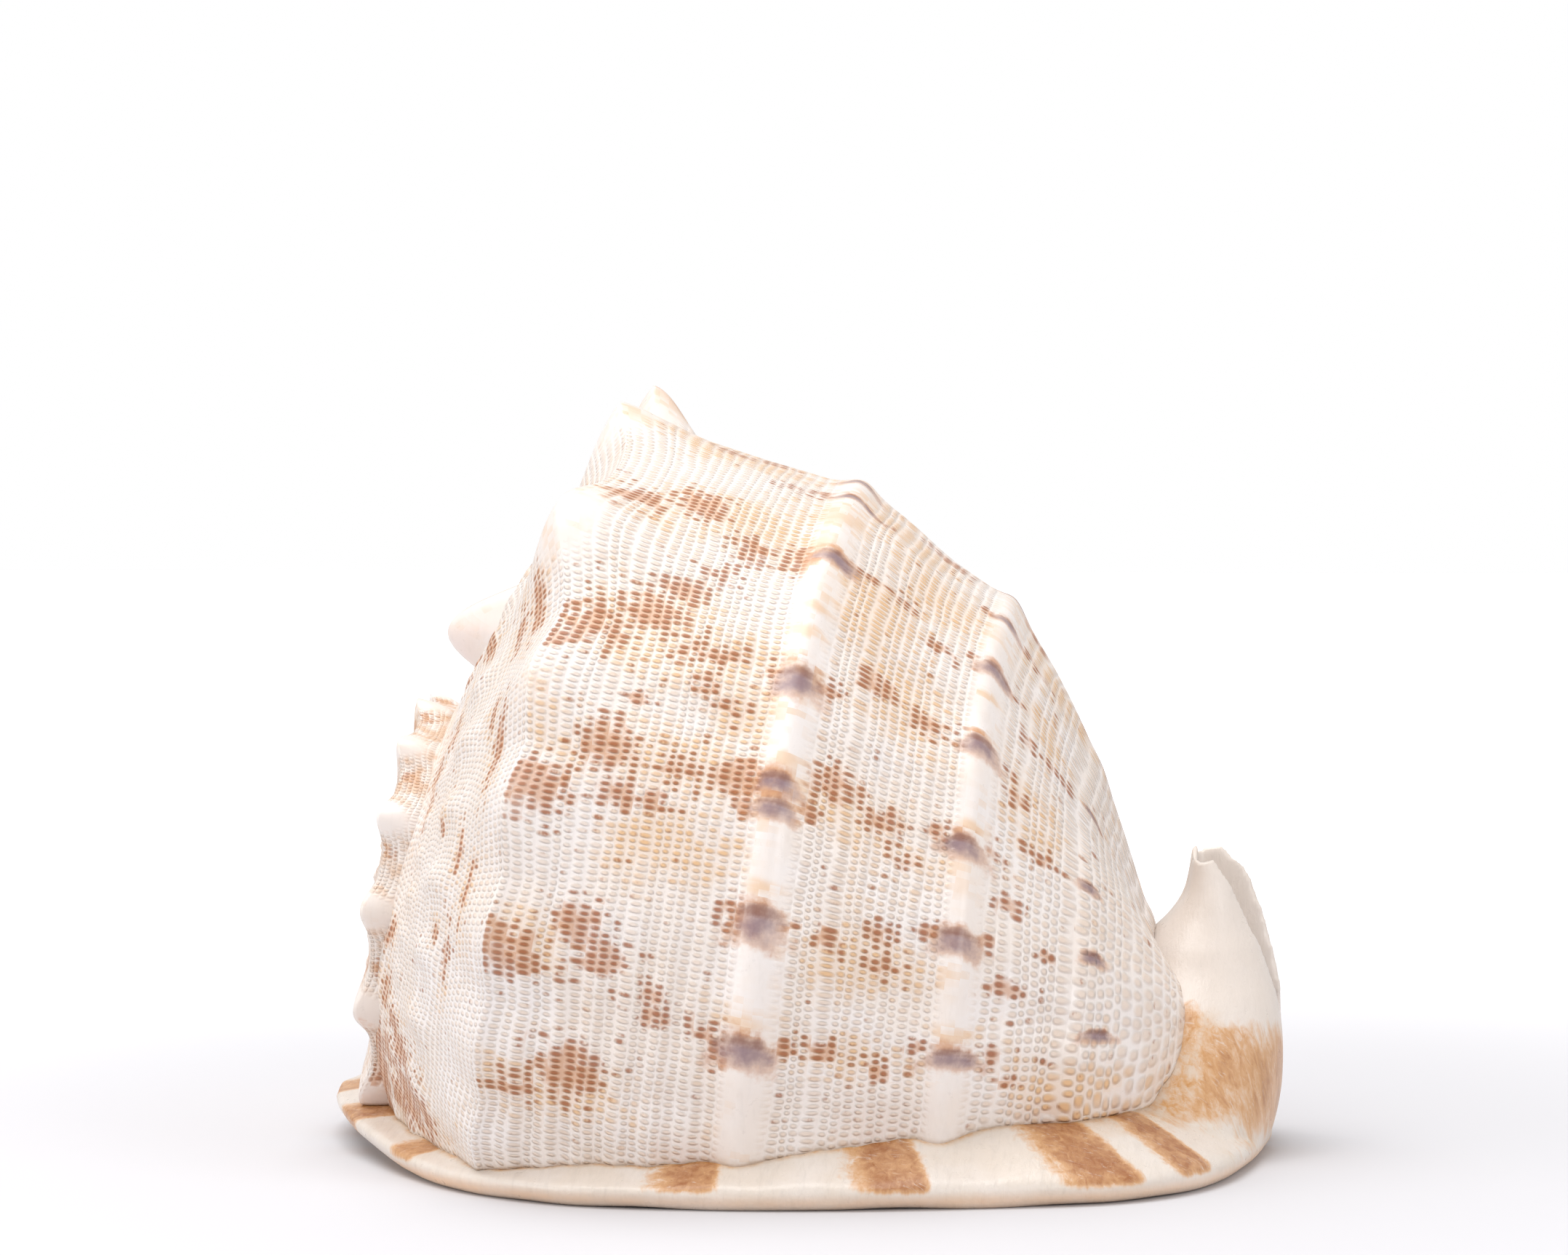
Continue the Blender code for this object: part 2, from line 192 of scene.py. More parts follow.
def meshPoints(mesh):
    points = np.empty(len(mesh.vertices) * 3, np.float32)
    mesh.vertices.foreach_get("co", points)
    return (points.reshape(-1, 3).astype(float) - shift) / mm


def meshQuads(mesh):
    corners = np.empty(len(mesh.loops), np.int32)
    mesh.loops.foreach_get("vertex_index", corners)
    return corners.reshape(-1, 4)


# Lip, shield and canal: one even mesh, cut by the opening and the canal slit.
lipBase = {
    "outline": (
        (-85, 3), (-80, -15), (-72, -32), (-61, -50), (-47, -66), (-28, -76.5), (-4, -78), (18, -75.5),
        (39, -70), (59, -63), (71, -52), (78, -38), (82, -20), (84, -3), (84.5, 14), (80, 32), (64, 50),
        (40, 65), (12, 76), (-18, 79), (-46, 74), (-67, 61), (-79, 43), (-86, 22),
    ),
    # inset from the outline, height
    "rim": (
        (16.0, 2.6), (9.0, 0.0), (3.0, 0.0), (0.9, 0.9), (0.0, 2.6), (0.7, 4.2), (3.2, 5.8), (8.0, 8.4),
        (15.0, 12.0),
    ),
    "rearFlange": 0.45,
    "cornerLift": 4.5,
    # height, first x, last x, first y, last y
    "canal": (
        (3.0, 18, 84.6, -44, 50), (9.0, 30, 86.2, -32, 44), (16.0, 40, 86.8, -22, 38),
        (24.0, 50, 86.6, -13, 32), (32.0, 58, 85.4, -5, 26.5), (36.0, 60.8, 84.5, -2.4, 24),
        (38.5, 63.0, 83.9, -0.6, 22.4), (41.0, 66.0, 83.1, 1.0, 21), (44.0, 68.6, 81.9, 2.4, 19.4),
        (47.0, 69.6, 80.4, 3.8, 17.8), (50.5, 70.2, 77.4, 5.0, 16.0),
    ),
    "canalSlit": ((-4.0, 69.5, 96.0, 8.6, 11.6), (26.0, 70.5, 96.0, 8.0, 12.0), (60.0, 71.5, 96.0, 5.6, 15.4)),
    # height, how far the near blade stands back from the far one
    "nearBladeBack": ((20, 0.0), (26, 0.5), (31, 1.0), (36, 1.6), (40, 2.3), (46, 2.8), (52, 1.6)),
    # x, y, half width along the middle of the opening
    "slit": (
        (-70, -10, 2.2), (-62, -22, 4.5), (-48, -33, 6.5), (-28, -39, 7.6), (-4, -41, 8.2), (20, -38, 8.0),
        (42, -29, 6.8), (56, -16, 5.2), (66, -2, 3.8), (74, 7, 2.4), (80, 10.1, 1.6), (92, 10.1, 1.5),
    ),
    "lipTeeth": 13,
    "shieldFolds": 11,
    "toothHeight": 2.0,
    "foldHeight": 1.4,
    # brown bars on the flange: heading round the outline in degrees, half width, strength
    "bars": (
        (-97, 4.6, 0.95), (-71.5, 5.2, 1.0), (-47, 5.4, 1.0), (-33.5, 3.8, 1.0), (-142, 3.6, 0.9),
        (-165, 4.6, 0.9), (32, 4.5, 0.9), (56, 5.0, 1.0), (81, 4.6, 0.9), (104, 5.0, 0.95), (128, 4.4, 0.9),
        (152, 4.0, 0.8), (177, 5.0, 0.9),
    ),
    # brown patches low on the near side of the canal: x, z, half sizes, strength
    "patches": (
        (87, 13.0, 9, 10, 0.80), (77.5, 16.0, 7, 8.5, 0.74), (70, 23, 3.0, 5, 0.7), (71, 13, 5, 5, 0.58),
    ),
    "voxel": 0.65,  # grain of the even mesh
    "relief": 0.00018,
}


def closedCurve(points, count, fine=12):
    corners = np.array(points, float)
    total = len(corners)
    dense = []
    for k in range(total):
        a, b, c, d = (corners[(k + j) % total] for j in (-1, 0, 1, 2))
        for u in np.linspace(0, 1, fine, endpoint=False):
            dense.append(0.5 * (
                2 * b + (c - a) * u + (2 * a - 5 * b + 4 * c - d) * u ** 2
                + (3 * b - a - 3 * c + d) * u ** 3))
    dense = np.array(dense + [dense[0]])
    lengths = np.concatenate([[0], np.cumsum(np.linalg.norm(np.diff(dense, axis=0), axis=1))])
    targets = np.linspace(0, lengths[-1], count, endpoint=False)
    return np.stack([np.interp(targets, lengths, dense[:, k]) for k in range(dense.shape[1])], axis=1)


def insetCurve(points, distance):
    heading = np.roll(points, -1, axis=0) - np.roll(points, 1, axis=0)
    heading /= np.linalg.norm(heading, axis=1)[:, None]
    return points + np.stack([-heading[:, 1], heading[:, 0]], axis=1) * distance


def flangeHeight(height, x):
    scale = lipBase["rearFlange"] + (1 - lipBase["rearFlange"]) * easeBetween(x, -40, 20)
    lift = lipBase["cornerLift"] * easeBetween(-x, 52, 86)
    return np.minimum(height, 3.0) + np.maximum(height - 3.0, 0.0) * scale + lift


def stackRings(rings):
    # closed body through rings of the same number of points
    count = len(rings[0])
    points = [np.asarray(ring, float) for ring in rings]
    quads = []
    ahead = (np.arange(count) + 1) % count
    for level in range(len(rings) - 1):
        low, high = level * count, (level + 1) * count
        quads.append(
            np.stack([low + np.arange(count), low + ahead, high + ahead, high + np.arange(count)], axis=1))
    points = np.concatenate(points + [points[0].mean(0)[None], points[-1].mean(0)[None]])
    floor, roof = len(points) - 2, len(points) - 1
    last = (len(rings) - 1) * count
    under = np.stack([np.full(count, floor), ahead, np.arange(count)], axis=1)
    over = np.stack([np.full(count, roof), last + np.arange(count), last + ahead], axis=1)
    return points, np.concatenate(quads), np.concatenate([under, over])


def makeFlangeBody():
    outline = closedCurve(lipBase["outline"], 300)
    rim = np.array(lipBase["rim"])
    levels = np.linspace(0, len(rim) - 1, 41)
    table = np.arange(len(rim))
    rings = []
    middle = outline.mean(0)
    first = insetCurve(outline, rim[0][0])
    for share in np.linspace(0.05, 0.95, 12):
        flat = middle + (first - middle) * share
        rings.append(np.column_stack([flat, np.full(len(flat), 2.6)]))
    for level in levels:
        flat = insetCurve(outline, easeTable(np.column_stack([table, rim[:, 0]]), level))
        height = max(0.0, float(easeTable(np.column_stack([table, rim[:, 1]]), level)))
        rings.append(np.column_stack([flat, flangeHeight(height, flat[:, 0])]))
    return buildMesh("flangeBody", *stackRings(rings))


def makeCanalBody():
    table = np.array(lipBase["canal"], float)
    rings = []
    for height in np.concatenate([np.linspace(3, 50.5, 40), [51.4, 51.9]]):
        z = min(height, 50.5)
        x0, x1, y0, y1 = (float(easeTable(table[:, [0, k]], z)) for k in (1, 2, 3, 4))
        shrink = max(0.0, (height - 50.5) / 1.4) ** 2 * 0.7
        turn = np.linspace(0, 2 * math.pi, 96, endpoint=False)
        x = (x0 + x1) / 2 + (x1 - x0) / 2 * (1 - shrink) * np.cos(turn)
        y = (y0 + y1) / 2 + (y1 - y0) / 2 * (1 - shrink) * np.sin(turn)
        near = easeBetween(10.4 - y, 0, 0.8)
        x = x - near * (x - x0) / (x1 - x0) * float(easeTable(lipBase["nearBladeBack"], height))
        lower = height + 1.0 * easeBetween(10.4 - y, 0, 1.2) * easeBetween(height, 38, 50)
        rings.append(np.column_stack([x, y, lower]))
    return buildMesh("canalBody", *stackRings(rings))


def makeCanalSlit():
    rings = []
    for height, x0, x1, y0, y1 in lipBase["canalSlit"]:
        rings.append(np.array([(x0, y0, height), (x1, y0, height), (x1, y1, height), (x0, y1, height)]))
    return buildMesh("canalSlit", *stackRings(rings))


def slitLine(count):
    # middle of the opening: place, sideways heading, half width, share of the length
    middle = np.array(lipBase["slit"], float)
    lengths = np.concatenate([[0], np.cumsum(np.linalg.norm(np.diff(middle[:, :2], axis=0), axis=1))])
    at = np.linspace(0, lengths[-1], count)
    spot = np.stack([easeTable(np.column_stack([lengths, middle[:, k]]), at) for k in (0, 1)], axis=1)
    half = easeTable(np.column_stack([lengths, middle[:, 2]]), at)
    heading = np.gradient(spot, axis=0)
    heading /= np.linalg.norm(heading, axis=1)[:, None]
    side = np.stack([heading[:, 1], -heading[:, 0]], axis=1)  # toward the lip
    return spot, side, half, at / lengths[-1]


def toothWave(share, count, turn=0.0):
    # rounded teeth over the middle of the opening
    fade = easeBetween(share, 0.08, 0.2) * (1 - easeBetween(share, 0.68, 0.8))
    return fade * (0.5 - 0.5 * np.cos(2 * math.pi * (share * count / 0.72 + turn))) ** 1.5


def makeSlitBody():
    spot, side, half, share = slitLine(420)
    rings = []
    for height, bite, flare in (
        (-4, 0.5, 1.4), (0.8, 0.9, 0.5), (2.5, 1.0, 0.0), (5.0, 0.7, -0.2), (8.0, 0.3, 0.2), (27.0, 0.0, 1.0)):
        near = spot + side * (
            half + flare - bite * lipBase["toothHeight"] * toothWave(share, lipBase["lipTeeth"]))[:, None]
        far = spot - side * (
            half + flare
            - bite * lipBase["foldHeight"] * toothWave(share, lipBase["shieldFolds"], 0.4))[:, None]
        flat = np.concatenate([near, far[::-1]])
        rings.append(np.column_stack([flat, np.full(len(flat), float(height))]))
    points, quads, _ = stackRings(rings)
    count = len(spot)
    strips = []
    for offset, turned in ((0, False), ((len(rings) - 1) * 2 * count, True)):
        k = np.arange(count - 1) + offset
        other = offset + 2 * count - 1 - np.arange(count - 1)
        strip = np.stack([k, other, other - 1, k + 1], axis=1)
        strips.append(strip[:, ::-1] if turned else strip)
    return buildMesh("slitBody", points[:-2], np.concatenate([quads] + strips))


def faceOutward(mesh):
    # turns the whole mesh round if it is inside out
    points = meshPoints(mesh)
    mesh.calc_loop_triangles()
    corners = np.empty(len(mesh.loop_triangles) * 3, np.int32)
    mesh.loop_triangles.foreach_get("vertices", corners)
    if np.linalg.det(points[corners.reshape(-1, 3)] - points.mean(0)).sum() < 0:
        mesh.flip_normals()
    return mesh


def pointLinks(mesh):
    edges = np.empty(len(mesh.edges) * 2, np.int32)
    mesh.edges.foreach_get("vertices", edges)
    return edges.reshape(-1, 2)


def relax(points, edges, rounds, weight=1.0, keepSize=True):
    count = np.bincount(edges.ravel(), minlength=len(points))[:, None]
    for _ in range(rounds):
        for push in ((0.5, -0.52) if keepSize else (0.5,)):
            total = np.zeros_like(points)
            for axis in range(3):
                total[:, axis] = (
                    np.bincount(edges[:, 0], points[edges[:, 1], axis], len(points))
                    + np.bincount(edges[:, 1], points[edges[:, 0], axis], len(points))
                )
            points = points + (total / count - points) * push * weight
    return points


def makeLipBase():
    body = addPiece("flangeBody", faceOutward(makeFlangeBody()))
    helpers = []
    for mesh, operation in (
        (makeCanalBody(), "UNION"), (makeSlitBody(), "DIFFERENCE"), (makeCanalSlit(), "DIFFERENCE")):
        helper = addPiece(mesh.name, faceOutward(mesh))
        helpers.append(helper)
        cut = body.modifiers.new(mesh.name, "BOOLEAN")
        cut.object, cut.operation, cut.solver = helper, operation, "MANIFOLD"
    grain = body.modifiers.new("evenMesh", "REMESH")
    grain.mode, grain.voxel_size = "VOXEL", lipBase["voxel"] * mm
    bpy.context.view_layer.update()
    solid = bpy.data.meshes.new_from_object(body.evaluated_get(bpy.context.evaluated_depsgraph_get()))
    for item in helpers + [body]:
        bpy.data.objects.remove(item, do_unlink=True)
    points, quads, edges = meshPoints(solid), meshQuads(solid), pointLinks(solid)
    points = relax(points, edges, 5)
    # the canal runs softly into the flange
    corner = easeBetween(points[:, 0], 20, 40) * easeBetween(points[:, 2], 5.5, 8) * (
        1 - easeBetween(points[:, 2], 20, 28))
    corner *= 1 - np.exp(-((points[:, 1] - 10) / 4) ** 2)
    points = relax(points, edges, 60, corner[:, None] * 0.9, keepSize=False)
    # ridges that run out from the teeth and folds over the underside
    spot, side, half, share = slitLine(420)
    under = np.where((points[:, 2] < 7) & (np.abs(points[:, 1]) < 75))[0]
    gap = np.full(len(points), 99.0)
    teeth = np.zeros(len(points))
    for start in range(0, len(under), 20000):
        some = under[start:start + 20000]
        offset = points[some, None, :2] - spot[None]
        near = np.argmin((offset ** 2).sum(-1), axis=1)
        across = (offset[np.arange(len(some)), near] * side[near]).sum(-1)
        gap[some] = np.abs(across) - half[near]
        onLip = across > 0
        wave = np.where(
            onLip, toothWave(share[near], lipBase["lipTeeth"]),
            toothWave(share[near], lipBase["shieldFolds"], 0.4))
        reach = np.where(onLip, 7.0, 11.0)
        teeth[some] = wave * np.exp(-(np.maximum(gap[some], 0) / reach) ** 2)
    low = 1 - easeBetween(points[:, 2], 2.8, 4.5)
    points[:, 2] -= teeth * low * 1.3
    points[:, 2] += 0.35 * low * easeBetween(gap, 14, 30) * ripple(points[:, 0], points[:, 1], 31, 26)
    # slow waves along the rim and a worn canal tip
    heading = np.degrees(np.arctan2(points[:, 1], points[:, 0]))
    top = easeBetween(points[:, 2], 2.5, 6) * (1 - easeBetween(points[:, 2], 18, 26))
    points[:, 2] += 0.35 * top * ripple(heading, heading * 0, 32, 14)
    tip = easeBetween(points[:, 2], 42, 50)
    wear = ripple(points[:, 0], points[:, 1], 33, 5)
    farBlade = easeBetween(points[:, 1], 9.6, 10.6)
    points[:, 2] += farBlade * 2.4 * easeBetween(points[:, 2], 38, 50) - tip * (0.2 + 0.5 * wear)
    points[:, 2] = np.where(
        (farBlade < 0.5) & (points[:, 0] > 60), np.minimum(points[:, 2], 51.3 + 0.6 * wear), points[:, 2])
    points[:, 2] = np.maximum(points[:, 2], 0)
    mesh = buildMesh("lipBase", points, quads)
    bars = np.zeros(len(points))
    for at, width, strength in lipBase["bars"]:
        off = (heading - at + 180) % 360 - 180
        bars = np.maximum(
            bars,
            strength * easeBetween(off, -1.5 * width, -0.1 * width) * (
                1 - easeBetween(off, 0.75 * width, 1.25 * width)))
    onTop = easeBetween(points[:, 2], 2.0, 4.0) * (1 - easeBetween(points[:, 2], 11, 16))
    bars *= onTop
    patch = np.zeros(len(points))
    for x, z, wide, tall, strength in lipBase["patches"]:
        patch = np.maximum(
            patch,
            strength * np.exp(
                -(((points[:, 0] - x) / wide) ** 4 + ((points[:, 2] - z) / tall) ** 4)) * (points[:, 1] < 9))
    patchFar = np.exp(
        -(((points[:, 0] - 72) / 12) ** 4 + ((points[:, 2] - 14) / 7.0) ** 4)) * (points[:, 1] > 12)
    paintField(mesh, "rust", np.maximum(bars, np.maximum(patch, 0.85 * patchFar)))
    beneath = (1 - easeBetween(points[:, 2], 1.2, 3.4))
    rimEdge = beneath * easeBetween(points[:, 2], 0.3, 1.5)
    paintField(
        mesh, "peach",
        np.clip(0.25 * rimEdge + beneath * (0.35 + 0.65 * np.exp(-(np.maximum(gap - 2, 0) / 22) ** 2)), 0, 1))
    paintField(mesh, "teeth", teeth * low)
    paintField(
        mesh, "gullet",
        (1 - easeBetween(gap, -1, 1.5)) * easeBetween(points[:, 2], 2.0, 9.0) * (points[:, 0] < 66))
    paintField(mesh, "canal", easeBetween(points[:, 2], 12, 24))
    print("lip base:", len(mesh.polygons), "faces")
    return addPiece("lipBase", mesh)


# Outer shell: one coiled sheet made of a ramp, a side and a flank.
outerShell = {
    "firstAngle": -1380.0,
    "angleStep": 0.6,
    "rampColumns": 60,
    "sideColumns": 10,
    "flankColumns": 200,
    # growth angle, reach outward, reach toward the spire, half width in degrees
    "horns": (
        (-168, 4.0, 6.0, 9), (-138, 6.0, 9.0, 10), (-110, 6.0, 12.0, 10), (-80, 4.0, 18.0, 10),
        (-52, -7.0, 28.0, 13), (-17, 16.0, 2.0, 10), (7, 5.0, 5.0, 8), (38, 5.0, 5.5, 8), (60, 2.6, 2.4, 7),
        (74, 2.3, 2.1, 6.5), (89, 2.0, 1.9, 6), (102, 1.8, 1.6, 6), (114, 1.5, 1.4, 6), (127, 1.3, 1.2, 6),
        (140, 1.2, 1.0, 6),
    ),
    "knobSpacing": 24.0,
    "knobHeight": 0.08,
    "flankSpan": 110.0,
    "rampLength": 52.0,  # marks on the ramp are placed by share of this
    "scatterSeed": 7,
    "arcBend": 0.35,  # how far plum spots bend into arcs
    "fullRadius": 87.0,  # sizes of marks hold at this radius
    "columnWidth": 1.75,  # of the pits
    "latticeReach": (-52.0, 110.0),  # across the turn, ramp to base
    # share of the lattice reach, pits in each millimetre along the turn
    "pitsPerMm": (
        (0.0, 0.36), (0.32, 0.86), (0.52, 0.84), (0.61, 0.80), (0.70, 0.70), (0.76, 0.62), (0.80, 0.52),
        (0.84, 0.43), (0.88, 0.33), (0.93, 0.22), (1.0, 0.12),
    ),
    "pitRelief": 0.00025,
    "settleReach": (1.6, 4.8),  # how near the flange and the canal the turn starts to bend
    # growth angle, share of the flank, size in millimetres, strength
    "rust": (
        (31, 0.06, 3.6, 1), (28, 0.15, 4.2, 1), (34, 0.32, 3.2, 1), (44, 0.165, 3.2, 1), (48, 0.13, 4.0, 1),
        (52, 0.045, 4.6, 1), (55, 0.01, 2.6, 0.9), (66, 0.11, 3.8, 1), (72, 0.03, 4.8, 1),
        (71, 0.14, 2.8, 0.95), (66, 0.30, 3.8, 1), (64, 0.43, 3.8, 1), (86, 0.115, 3.8, 1), (89, 0.15, 3.0, 1),
        (90, 0.03, 4.6, 1), (92, 0.22, 2.2, 0.9), (94, 0.23, 2.2, 0.95), (102, 0.12, 4.6, 1),
        (105, 0.05, 2.8, 0.85), (48, 0.47, 2.8, 1), (50, 0.55, 2.8, 0.95), (66, 0.51, 3.2, 0.9),
        (34, 0.25, 3.8, 0.85), (35, 0.55, 2.6, 0.85), (40, 0.21, 3.2, 0.75), (52, 0.20, 2.8, 0.75),
        (52, 0.24, 2.8, 0.75), (56, 0.23, 2.6, 0.75), (58, 0.26, 2.8, 0.75), (60, 0.14, 1.8, 0.7),
        (64, 0.125, 2.2, 0.8), (67, 0.22, 2.8, 0.7), (71, 0.19, 2.4, 0.7), (30, 0.48, 2.2, 0.8),
        (40, 0.76, 2.2, 0.8), (54, 0.70, 2.8, 0.75), (62, 0.74, 2.4, 0.8), (40, 0.70, 2.0, 0.7),
        (80, 0.52, 2.4, 0.75), (82, 0.45, 2.4, 0.8), (84, 0.53, 2.4, 0.8), (72, 0.70, 2.4, 0.95),
        (84, 0.70, 2.6, 0.95), (78, 0.76, 1.6, 0.8), (94, 0.77, 1.4, 0.7), (97, 0.72, 2.0, 0.85),
        (95, 0.46, 2.4, 0.8), (97, 0.54, 2.6, 0.8), (71, 0.54, 2.4, 0.7), (18, 0.70, 1.8, 0.7),
        (16, 0.27, 3.2, 0.7), (88, 0.21, 1.6, 0.6), (82, 0.33, 2.6, 0.9), (97, 0.33, 2.4, 0.85),
    ),
    # growth angle, share of the flank, size along the turn, size across
    "amber": (
        (30, 0.22, 9, 16), (52, 0.20, 8, 16), (58, 0.30, 7, 7), (50, 0.10, 5, 14), (66, 0.20, 6, 20),
        (75, 0.22, 6, 10), (36, 0.46, 12, 9), (24, 0.52, 12, 9), (48, 0.52, 9, 9), (66, 0.47, 6, 10),
        (70, 0.55, 5, 8), (22, 0.34, 9, 8), (12, 0.72, 14, 6), (34, 0.74, 12, 5), (55, 0.73, 10, 5),
        (88, 0.05, 5, 8), (104, 0.10, 5, 12), (84, 0.50, 6, 10), (96, 0.50, 4, 10), (98, 0.80, 6, 9),
        (103, 0.86, 6, 8), (12, 0.45, 10, 10), (8, 0.20, 8, 14), (42, 0.36, 1.3, 3.4), (46, 0.355, 1.6, 3.2),
        (63, 0.36, 1.6, 3.0), (78, 0.355, 1.3, 3.6), (93, 0.355, 1.7, 4.0), (40, 0.635, 1.4, 2.8),
        (48, 0.635, 1.5, 2.6), (63, 0.635, 1.4, 2.6), (91, 0.635, 1.6, 3.4), (104, 0.90, 6, 5),
        (112, 0.90, 6, 6), (108, 0.96, 8, 5),
    ),
    # growth angle, share of the flank, size along the turn, size across
    "plum": (
        (14, 0.37, 1.6, 4.5), (32, 0.375, 2.6, 4.4), (53, 0.36, 3.6, 3.8), (66, 0.355, 2.1, 4.0),
        (69, 0.355, 2.2, 3.8), (82, 0.355, 3.8, 4.2), (96, 0.355, 3.2, 4.8), (18, 0.64, 2.0, 3.0),
        (34, 0.64, 2.8, 3.0), (50, 0.635, 3.2, 3.4), (66, 0.625, 2.8, 3.6), (79, 0.63, 3.2, 3.6),
        (94, 0.64, 2.2, 4.2), (37, 0.82, 2.2, 1.8), (62, 0.815, 2.4, 2.0), (76, 0.825, 2.2, 2.0),
        (89, 0.84, 1.9, 2.6),
    ),
    # growth angle, share of the ramp, size along the turn, size across
    "rampRust": (
        (47, 0.84, 7, 2.2), (48, 0.71, 5, 1.8), (66, 0.80, 7, 1.8), (40, 0.40, 5, 2.5), (54, 0.21, 6, 2.0),
        (60, 0.05, 8, 2.5), (30, 0.10, 8, 3.0), (18, 0.53, 8, 2.6), (76, 0.42, 2.5, 1.8), (80, 0.65, 5, 1.2),
        (85, 0.78, 6, 1.0), (94, 0.68, 6, 1.1), (128, 0.10, 7, 3.6), (130, 0.30, 5, 3.2), (124, 0.20, 6, 3.0),
        (100, 0.05, 5, 2.0), (92, 0.55, 2.4, 1.2), (72, 0.10, 6, 2.0), (61, 0.70, 4, 1.4), (12, 0.25, 9, 3.0),
        (2, 0.60, 8, 3.0), (112, 0.12, 6, 2.0), (25, 0.75, 7, 2.4), (134, 0.15, 8, 4.0), (138, 0.42, 6, 3.2),
        (141, 0.12, 6, 4.5), (147, 0.30, 8, 4.5), (146, 0.58, 5, 2.2), (157, 0.02, 12, 6.0),
        (158, 0.18, 11, 5.0), (115, 0.24, 4, 3.2), (118, 0.35, 5, 4.5), (121, 0.47, 5, 4.5),
        (122, 0.61, 4, 3.6), (126, 0.42, 7, 8.0),
    ),
}


def hornAt(angle):
    # how far the shoulder stands outward and toward the spire
    out, back, best = np.zeros_like(angle), np.zeros_like(angle), np.zeros_like(angle)
    for at, outward, backward, width in outerShell["horns"]:
        share = np.exp(-1.2 * ((angle - at) / width) ** 2)
        size = share * math.hypot(outward, backward)
        taller = size > best
        best = np.where(taller, size, best)
        out = np.where(taller, outward * share, out)
        back = np.where(taller, backward * share, back)
    wave = np.cos(np.pi * (angle + 192) / outerShell["knobSpacing"]) ** 4
    size = outerShell["knobHeight"] * shoulderAt(angle)[0] * wave
    early = (angle < -178) & (size > best)
    return np.where(early, 0.75 * size, out), np.where(early, 0.65 * size, back), np.where(early, size, best)


def spotField(angle, across, spots, bend=0.0):
    # strongest of many soft spots, bent into arcs; sizes are in millimetres on the last turn
    field = np.zeros(angle.shape)
    scale = math.radians(1) * outerShell["fullRadius"]
    for at, middle, alongSize, acrossSize, strength in spots:
        near = np.abs(angle - at) * scale < 3 * alongSize
        if not near.any():
            continue
        off = (across[near] - middle) / acrossSize
        reach = (((angle[near] - at) * scale - bend * acrossSize * off * off) / alongSize) ** 2 + off ** 2
        field[near] = np.maximum(field[near], strength * np.exp(-reach * 0.7))
    return field


def makeSpots():
    # marks listed for the near side, and scattered ones on the far side and the spire
    span = outerShell["flankSpan"]
    rng = np.random.default_rng(outerShell["scatterSeed"])
    rust = [(at, share * span, size, size * 1.15, strength) for at, share, size, strength in outerShell["rust"]]
    amber = [(at, share * span, along, wide, 1.0) for at, share, along, wide in outerShell["amber"]]
    plum = [(at, share * span, along * 0.92, wide * 1.1, 1.0) for at, share, along, wide in outerShell["plum"]]
    rampLength = outerShell["rampLength"]
    rampRust = [
        (at, -(1 - share) * rampLength, along, wide, 1.0) for at, share, along, wide in outerShell["rampRust"]]
    for at, middle, along, wide, strength in plum:
        if middle < 80:
            rust.append((at - 0.75 * along, middle - 0.8, 1.3, wide * 0.8, 0.8))
            for turned in (-1, 1):
                rust.append((
                    at - 0.6 + rng.uniform(-0.6, 0.6), middle + turned * (wide * 1.05 + 0.8), 1.9, 1.7,
                    rng.uniform(0.7, 1)))
    for at in np.arange(-172, 8, 17.5):
        for share in (0.05, 0.13, 0.22, 0.30, 0.44, 0.53, 0.70, 0.77):
            if rng.random() < 0.75:
                size = rng.uniform(2.0, 4.4) * (1 if share < 0.6 else 0.7)
                rust.append((
                    at + rng.uniform(-4, 4), (share + rng.uniform(-0.03, 0.03)) * span, size, size * 1.2,
                    rng.uniform(0.75, 1)))
            amber.append((
                at + rng.uniform(-6, 6), (share + rng.uniform(-0.04, 0.04)) * span, rng.uniform(5, 9),
                rng.uniform(7, 14), 0.9))
        for share, wide in ((0.36, 4.2), (0.635, 3.4), (0.82, 2.0)):
            plum.append((
                at + rng.uniform(-2, 2), share * span, rng.uniform(2.0, 3.4), wide * rng.uniform(0.85, 1.1),
                1.0))
    for at in np.arange(-900, 5, 13.0):
        ratio = float(coilRadius(np.array(at))) / 86
        for share in (0.15, 0.4, 0.62, 0.82):
            if rng.random() < 0.68:
                rampRust.append((
                    at + rng.uniform(-4, 4), -(1 - share + rng.uniform(-0.05, 0.05)) * rampLength * ratio,
                    rng.uniform(4, 8), 2.6 * max(ratio, 0.35), rng.uniform(0.7, 1)))
        rust.append((
            at + rng.uniform(-3, 3), rng.uniform(1.5, 4.0) * max(ratio, 0.3), 3.4, 2.4, rng.uniform(0.7, 1)))
    return rust, amber, plum, rampRust


